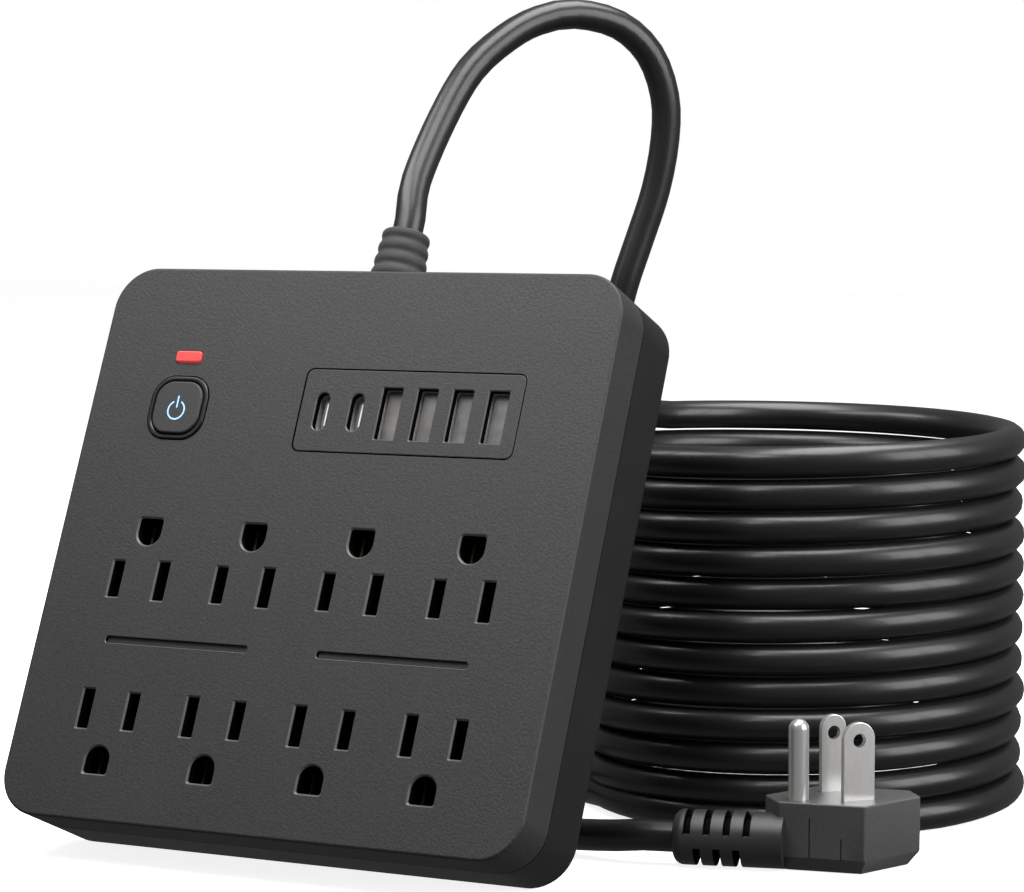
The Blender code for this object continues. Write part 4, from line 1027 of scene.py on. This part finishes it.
@dataclass
class UsbBank:
    """The panel with two small and four large ports."""

    centre: tuple[float, float] = PANEL_CENTRE
    size: tuple[float, float] = PANEL_SIZE
    radius: float = 1.8
    flange: float = 2.4
    port_y: float = 32.9
    c_places: tuple[float, ...] = (-4.1, 5.2)
    a_places: tuple[float, ...] = (14.1, 23.4, 32.7, 42.0)
    c_size: tuple[float, float] = (3.4, 9.2)
    a_size: tuple[float, float] = (5.2, 12.6)
    sheet: float = 0.35
    shell_top: float = -2.1
    shell_low: float = -14.7

    def panel(self) -> None:
        """The panel's face and its hidden flange."""
        outer = (self.size[0] + 2 * self.flange, self.size[1] + 2 * self.flange)
        body = plate("usb_face", outer, self.radius + self.flange, -4.2, -2.8, self.centre, 8)
        body.inset(face_at(-2.8), self.flange)
        body.extrude(broad_face_at(-2.8, 500.0), 2.8)
        body.bevel(rim_at(0.0), 0.25, 3)
        pocket = plate("pocket", (self.size[0] - 3.0, self.size[1] - 3.0), 1.0, -5.2, -1.8, self.centre, 3)
        body.combine("DIFFERENCE", pocket)
        y = self.port_y
        cutters = [flared("c_cutter", self.c_size, C_ROUND, -3.0, 0.25, (x, y), 10) for x in self.c_places]
        cutters += [flared("a_cutter", self.a_size, A_ROUND, -3.0, 0.25, (x, y), 3) for x in self.a_places]
        body.combine("DIFFERENCE", merged("port_cutters", cutters))
        body.finish(HOUSING, PANEL, Body.HOUSING, "shell", ["usb_panel"], zones=zone_of)

    def shells(self, kind: str, size: tuple[float, float], places: Sequence[float], radius: float) -> None:
        """The sheet-metal shells of one kind of port."""
        outer = (size[0] + 2 * self.sheet, size[1] + 2 * self.sheet)
        low, top = self.shell_low, self.shell_top
        pattern = plate("port_shell", outer, radius + self.sheet, low, top, (0.0, self.port_y), 8)
        pattern.inset(face_at(top), self.sheet)
        pattern.extrude(broad_face_at(top, 20.0), low - top + 0.6)
        shifts = [(x, 0.0, 0.0) for x in places]
        hand_out(pattern, shifts, f"port_{kind}_shell", PORT_TIN, "nickel", f"usb_{kind}_shell")

    def inserts(self, kind: str, size: tuple[float, float], radius: float, places: Sequence[float]) -> None:
        """The pale moulded inserts that carry the contacts of one kind of port."""
        top = self.shell_top - 0.35
        pattern = plate("port_insert", size, radius, self.shell_low + 0.9, top, (0.0, self.port_y), 8)
        pattern.bevel(rim_at(top), 0.25, 3)
        shifts = [(x, 0.0, 0.0) for x in places]
        hand_out(pattern, shifts, f"port_{kind}_insert", PORT_INSERT, "insulator", f"usb_{kind}_tongue")

    def strips(self) -> None:
        """A strip along each small port's insert for its contacts, pale and faintly glowing as a painted
        highlight.
        """
        pattern = plate("port_highlight_strip", (0.5, 5.6), 0.24, -3.2, self.shell_top - 0.2, (0.25, self.port_y), 4)
        shifts = [(x, 0.0, 0.0) for x in self.c_places]
        hand_out(pattern, shifts, "port_c_highlight_strip", CONTACT_HIGHLIGHT_STRIP, "brass")

    def build(self) -> None:
        """Make the panel and every port."""
        self.panel()
        self.shells("c", self.c_size, self.c_places, C_ROUND)
        self.shells("a", self.a_size, self.a_places, A_ROUND)
        self.inserts("c", (1.8, 7.5), 0.89, self.c_places)
        self.inserts("a", (4.6, 12.0), 0.3, self.a_places)
        self.strips()


# ---------------------------------------------------------------- switch and lamp


@dataclass
class PushSwitch:
    """The bezel, the moving cap with its lit symbol, and the return spring."""

    centre: tuple[float, float] = SWITCH_CENTRE
    size: float = 13.0
    radius: float = 4.5
    proud: float = 0.7
    depth: float = 4.2
    clearance: float = 0.35
    bezel_wall: float = 1.0
    bezel_proud: float = 0.4
    symbol_drop: float = 0.8
    symbol_radius: float = 2.45
    symbol_width: float = 0.36
    travel: float = 1.5

    def bezel(self) -> None:
        """The glossy ring round the cap."""
        inner = self.size + 2 * self.clearance
        outer = inner + 2 * self.bezel_wall
        corner = self.radius + self.bezel_wall + 2.0
        body = plate("bezel", (outer + 4.0, outer + 4.0), corner, -5.0, -2.8, self.centre, 10)
        body.inset(face_at(-2.8), 2.0)
        body.extrude(broad_face_at(-2.8, 150.0), 2.8 + self.bezel_proud)
        body.bevel(rim_at(self.bezel_proud), 0.35, 4)
        corner = self.radius + self.clearance
        size = (inner, inner)
        tool = flared("bezel_hole", size, corner, -6.0, 0.25, self.centre, 10, self.bezel_proud)
        body.combine("DIFFERENCE", tool)
        body.finish(HOUSING, GLOSS, Body.HOUSING, "trim", ["button_bezel"])

    def symbol(self) -> Blank:
        """An open ring with an upright bar."""
        low, high = self.proud - 0.9, self.proud + 0.02
        radius, width = self.symbol_radius, self.symbol_width
        ring = turned("lit_symbol", [(radius, low), (radius, high)], 64)
        core = [(radius - width, low - 1.0), (radius - width, high + 1.0)]
        ring.combine("DIFFERENCE", turned("core", core, 64))
        ring.combine("DIFFERENCE", plate("gap", (2.0, 3.0), 0.0, low - 1.0, high + 1.0, (0.0, 2.2)))
        bar = plate("bar", (width, 3.0), width / 2 - 0.01, low, high, (0.0, 2.1), 5)
        ring.add([bar])
        return moved(ring, (self.centre[0], self.centre[1] - self.symbol_drop, 0.0))

    def cap(self) -> None:
        """The cap, and the symbol let into it."""
        low, size = self.proud - self.depth, (self.size, self.size)
        body = plate("cap", size, self.radius, low, self.proud, self.centre, 10)
        body.bevel(rim_at(self.proud), 0.45, 4)
        symbol = self.symbol()
        body.combine("DIFFERENCE", symbol.copy("symbol_seat"))
        body.finish(HOUSING, CAP, Body.BUTTON, "trim", ["power_button"])
        symbol.finish(HOUSING, GLOW, Body.BUTTON, "light", ["power_icon"])

    def spring(self) -> None:
        """The return spring, built at one length below the cap."""
        low, high, turns, radius = -16.45, -10.25, 4, 2.5
        curve = bpy.data.curves.new("spring", "CURVE")
        curve.dimensions = "3D"
        curve.bevel_depth = 0.35
        curve.bevel_resolution = 2
        curve.use_fill_caps = True
        spline = curve.splines.new("POLY")
        steps = 28 * turns
        spline.points.add(steps)
        for step, point in enumerate(spline.points):
            angle = math.tau * turns * step / steps
            height = low + (high - low) * step / steps
            x = self.centre[0] + radius * math.cos(angle)
            point.co = (x, self.centre[1] + radius * math.sin(angle), height, 1.0)
        item = bpy.data.objects.new("spring", curve)
        bpy.context.scene.collection.objects.link(item)
        clear_bench()
        item.select_set(True)
        bpy.context.view_layer.objects.active = item
        bpy.ops.object.convert(target="MESH")
        spring = Blank("spring").finish(HOUSING, STEEL, Body.HOUSING, "steel", ["return_spring"], 50.0)
        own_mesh(spring)

    def build(self) -> None:
        """Make the switch's pieces."""
        self.bezel()
        self.cap()
        self.spring()


@dataclass
class Lamp:
    """The red lens that shows the outlets are protected."""

    centre: tuple[float, float] = LAMP_CENTRE
    size: tuple[float, float] = (7.1, 2.8)
    proud: float = 0.6
    depth: float = 3.2

    def build(self) -> None:
        """Make the domed lens."""
        body = plate("lamp_lens", self.size, 0.75, -self.depth, self.proud, self.centre, 8)
        body.bevel(rim_at(self.proud), 0.4, 4)
        body.finish(HOUSING, LENS, Body.HOUSING, "red", ["indicator_lens"], 60.0)


# ---------------------------------------------------------------- boot and plug


@dataclass
class Boot:
    """The ribbed rubber boot that the cord leaves by."""

    low: float = 68.55
    high: float = 83.25
    base: float = 6.9
    tip: float = 5.8
    ribs: int = 4
    rib_depth: float = 0.4

    def build(self) -> None:
        """Make the boot, its neck and the flange that holds it."""
        profile = [(7.6, 63.85), (7.6, 65.45), (4.8, 65.45), (4.8, self.low), (self.base - 0.3, self.low)]
        steps = 44
        usable = self.high - 1.1 - self.low
        for step in range(steps + 1):
            along = step / steps
            wave = 0.5 - 0.5 * math.cos(math.tau * self.ribs * along)
            radius = self.base + (self.tip - self.base) * along - self.rib_depth * wave**1.5
            profile.append((radius, self.low + 0.25 + usable * along * 0.985))
        profile += [
            (self.tip - 0.1, self.high - 0.6), (self.tip - 0.35, self.high - 0.25),
            (self.tip - 0.8, self.high), (4.0, self.high), (3.75, self.high - 0.3), (3.75, self.high - 4.5),
        ]
        along_y = Matrix.Rotation(-math.pi / 2, 4, "X")
        place = HOUSING @ Matrix.Translation((0.0, 0.0, -CORD_DEPTH * MM)) @ along_y
        boot = turned("cord_boot", profile, 56)
        boot.finish(place, RUBBER, Body.HOUSING, "rubber", ["cord_gland"], 50.0)


@dataclass
class WallPlug:
    """The moulded plug, its pins and the slotted sleeve on its side."""

    outline: tuple[Point, ...] = (
        (-16.3, 8.4), (-17.6, -0.8), (-2.2, -14.3), (15.6, -7.6), (17.0, 0.2), (0.8, 14.0),
    )
    height: float = 16.0
    foot_height: float = 3.5
    foot_inset: float = 2.6
    blade_spacing: float = 12.7
    ground_offset: float = 11.9
    thickness: float = 1.5
    widths: tuple[float, float] = (6.35, 7.94)
    blade_length: float = 18.0
    pin_radius: float = 2.37
    pin_length: float = 18.6
    pocket: float = 6.0
    sleeve_radius: float = 6.4
    sleeve_outer: float = 21.7
    sleeve_round: float = 2.4
    slot_reach: float = 1.5
    slot_core: float = 4.5

    def body(self) -> bpy.types.Object:
        """The moulded body with its drawn-in foot, parting grooves and pin pockets."""
        body = outline_slab("plug_case", self.outline, self.foot_height, self.height)
        body.inset(face_at(self.foot_height), self.foot_inset, self.foot_height)
        body.bevel(upright, 0.55, 3)
        body.bevel(rim_at(self.height), 0.4, 3)
        start, end = Vector(self.outline[1]), Vector(self.outline[2])
        turn = Matrix.Rotation(math.atan2(end.y - start.y, end.x - start.x), 4, "Z")
        for share, top in ((0.364, 12.6), (0.726, 8.2)):
            spot = start.lerp(end, share)
            tool = plate("groove", (0.32, 1.0), 0.0, self.foot_height - 0.3, top)
            body.combine("DIFFERENCE", moved(tool, (spot.x, spot.y, 0.0), turn))
        low = self.height - self.pocket - 0.1
        for width, side in zip(self.widths, (1, -1)):
            size = (width + 0.2, self.thickness + 0.2)
            tool = plate("pocket", size, 0.0, low, 17.0, (0.0, side * self.blade_spacing / 2))
            body.combine("DIFFERENCE", tool)
        pin = turned("pin_pocket", [(self.pin_radius + 0.1, low), (self.pin_radius + 0.1, 17.0)], 40)
        body.combine("DIFFERENCE", moved(pin, (-self.ground_offset, 0.0, 0.0)))
        return body.finish(PLUG, PLUG_SKIN, Body.HOUSING, "trim", ["plug_body"])

    def blades(self) -> list[bpy.types.Object]:
        """The two flat blades, round-ended and drilled."""
        made = []
        low, high = self.height - self.pocket, self.height + self.blade_length
        for name, width, side in (("hot", self.widths[0], 1), ("neutral", self.widths[1], -1)):
            half = width / 2
            outline = [(-half, low), (half, low)]
            for step in range(25):
                angle = math.pi * step / 24
                outline.append((half * math.cos(angle), high - half + half * math.sin(angle)))
            blade = outline_slab(f"plug_{name}_blade", outline, -self.thickness / 2, self.thickness / 2)
            blade.bevel(level, 0.18, 2)
            hole = moved(turned("hole", [(1.6, -2.0), (1.6, 2.0)], 40), (0.0, high - 4.2, 0.0))
            blade.combine("DIFFERENCE", hole)
            shift = Matrix.Translation((0.0, side * self.blade_spacing / 2 * MM, 0.0))
            place = PLUG @ shift @ Matrix.Rotation(math.pi / 2, 4, "X")
            made.append(blade.finish(place, NICKEL, Body.HOUSING, "nickel", [f"{name}_blade"]))
        return made

    def pin(self) -> bpy.types.Object:
        """The round ground pin with its domed tip."""
        low, top, radius = self.height - self.pocket, self.height + self.pin_length, self.pin_radius
        profile = [(radius, low)]
        for angle in range(0, 85, 9):
            along = math.radians(angle)
            profile.append((radius * math.cos(along), top - radius + radius * math.sin(along)))
        place = PLUG @ Matrix.Translation((-self.ground_offset * MM, 0.0, 0.0))
        pin = turned("plug_ground_pin", profile, 48)
        return pin.finish(place, NICKEL, Body.HOUSING, "nickel", ["ground_pin"], 60.0)

    def sleeve_zone(self, middle: Vector, normal: Vector) -> Zone:
        """Whether a face of the sleeve, drawn along z, lies inside a slot, where it gets painted shade."""
        reach = math.hypot(middle.x, middle.y)
        along = middle.z < self.sleeve_outer - self.sleeve_round - 0.3 and middle.z > -3.9
        wall = abs(normal.z) > 0.9 and along
        floor = along and reach < self.slot_core + 0.1
        return Zone.PAINTED_SHADE_WELL if wall or floor else Zone.SKIN

    def sleeve(self) -> bpy.types.Object:
        """The strain relief: a sleeve with slots cut from two sides."""
        radius, round_ = self.sleeve_radius, self.sleeve_round
        straight = self.sleeve_outer - round_
        profile = [(radius, -4.0)]
        for angle in range(0, 71, 10):
            along = math.radians(angle)
            profile.append((radius - round_ * (1 - math.cos(along)), straight + round_ * math.sin(along)))
        mouth = self.sleeve_outer
        profile += [(4.0, mouth), (3.75, mouth - 0.3), (3.75, mouth - 4.0)]
        body = turned("plug_sleeve", profile, 56)
        for side, count in ((1, 4), (-1, 3)):
            for number in range(count):
                middle = straight - 1.4 - number * 4.6 - (0.0 if side > 0 else 2.3)
                centre = (0.0, side * (self.slot_reach + 3.2))
                tool = plate("slot", (16.0, 6.4), 0.0, middle - 0.85, middle + 0.85, centre)
                core = [(self.slot_core, middle - 2.0), (self.slot_core, middle + 2.0)]
                tool.combine("DIFFERENCE", turned("core", core, 56))
                body.combine("DIFFERENCE", tool)
        # Faces inside the slots get painted shade.
        dark = [self.sleeve_zone(face.center, face.normal) for face in body.item.data.polygons]
        layer = body.item.data.attributes.new("zone", "INT", "FACE")
        layer.data.foreach_set("value", [zone.value for zone in dark])
        turn = math.radians(SLEEVE_TURN)
        frame_turn = Matrix.Rotation(turn + math.pi / 2, 4, "Z") @ Matrix.Rotation(math.pi / 2, 4, "X")
        moved(body, SLEEVE_FOOT, frame_turn)
        seat = outline_slab("seat", self.outline, self.foot_height, self.height + 4.0)
        seat.inset(face_at(self.foot_height), self.foot_inset * 1.3, self.foot_height * 1.3)
        body.combine("DIFFERENCE", seat)
        piece = body.finish(PLUG, SLEEVE, Body.HOUSING, "trim", ["plug_strain_relief"], 50.0)
        piece.data.materials.append(PAINTED_SHADE_WELL.build())
        for face, mark in zip(piece.data.polygons, piece.data.attributes["zone"].data):
            face.material_index = mark.value
        return piece

    def build(self) -> list[bpy.types.Object]:
        """Make the plug's pieces."""
        return [self.body(), *self.blades(), self.pin(), self.sleeve()]


# ---------------------------------------------------------------- what shows inside


@dataclass
class Innards:
    """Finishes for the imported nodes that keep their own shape."""

    def finishes(self) -> dict[str, Finish]:
        """The finish of each kept node, by the start of its name."""
        return {
            # The contact block and the bus bars behind the slots carry painted shade.
            "contact_block": SHADED_INSULATOR, "hot_bus_bar": SHADED_BRASS, "neutral_bus_bar": SHADED_BRASS,
            "ground_bus_bar": SHADED_BRASS,
            "usb_board": BOARD, "main_board": BOARD, "switch_plunger": SHADED_INSULATOR, "contact_bridge": SHADED_BRASS,
            "switch_body": SHADED_INSULATOR, "indicator_led": LENS, "varistor": EPOXY, "transformer": TAPE,
            "filter_capacitor": TAPE, "thermal_fuse": STEEL, "line_wire": LINE_WIRE,
            "neutral_wire": NEUTRAL_WIRE, "ground_wire": GROUND_WIRE,
        }

    def build(self) -> None:
        """Dress every node that still shows."""
        for name, node in frame["nodes"].items():
            if node.hide_render:
                continue
            finish = next(look for start, look in self.finishes().items() if name.startswith(start))
            for slot in node.material_slots:
                slot.material = finish.build()
            LOG.info("%s keeps its shape and gets %s", name, finish.name)


def main() -> None:
    """Build every class in order."""
    logging.basicConfig(level=logging.INFO, format="%(message)s")
    Studio().build()
    cord = Cord()
    cord_piece = cord.build()
    Housing().build()
    UsbBank().build()
    PushSwitch().build()
    Lamp().build()
    Boot().build()
    plug_pieces = WallPlug().build()
    cord.declare(cord_piece, plug_pieces)
    Innards().build()


if __name__ == "__main__":
    main()
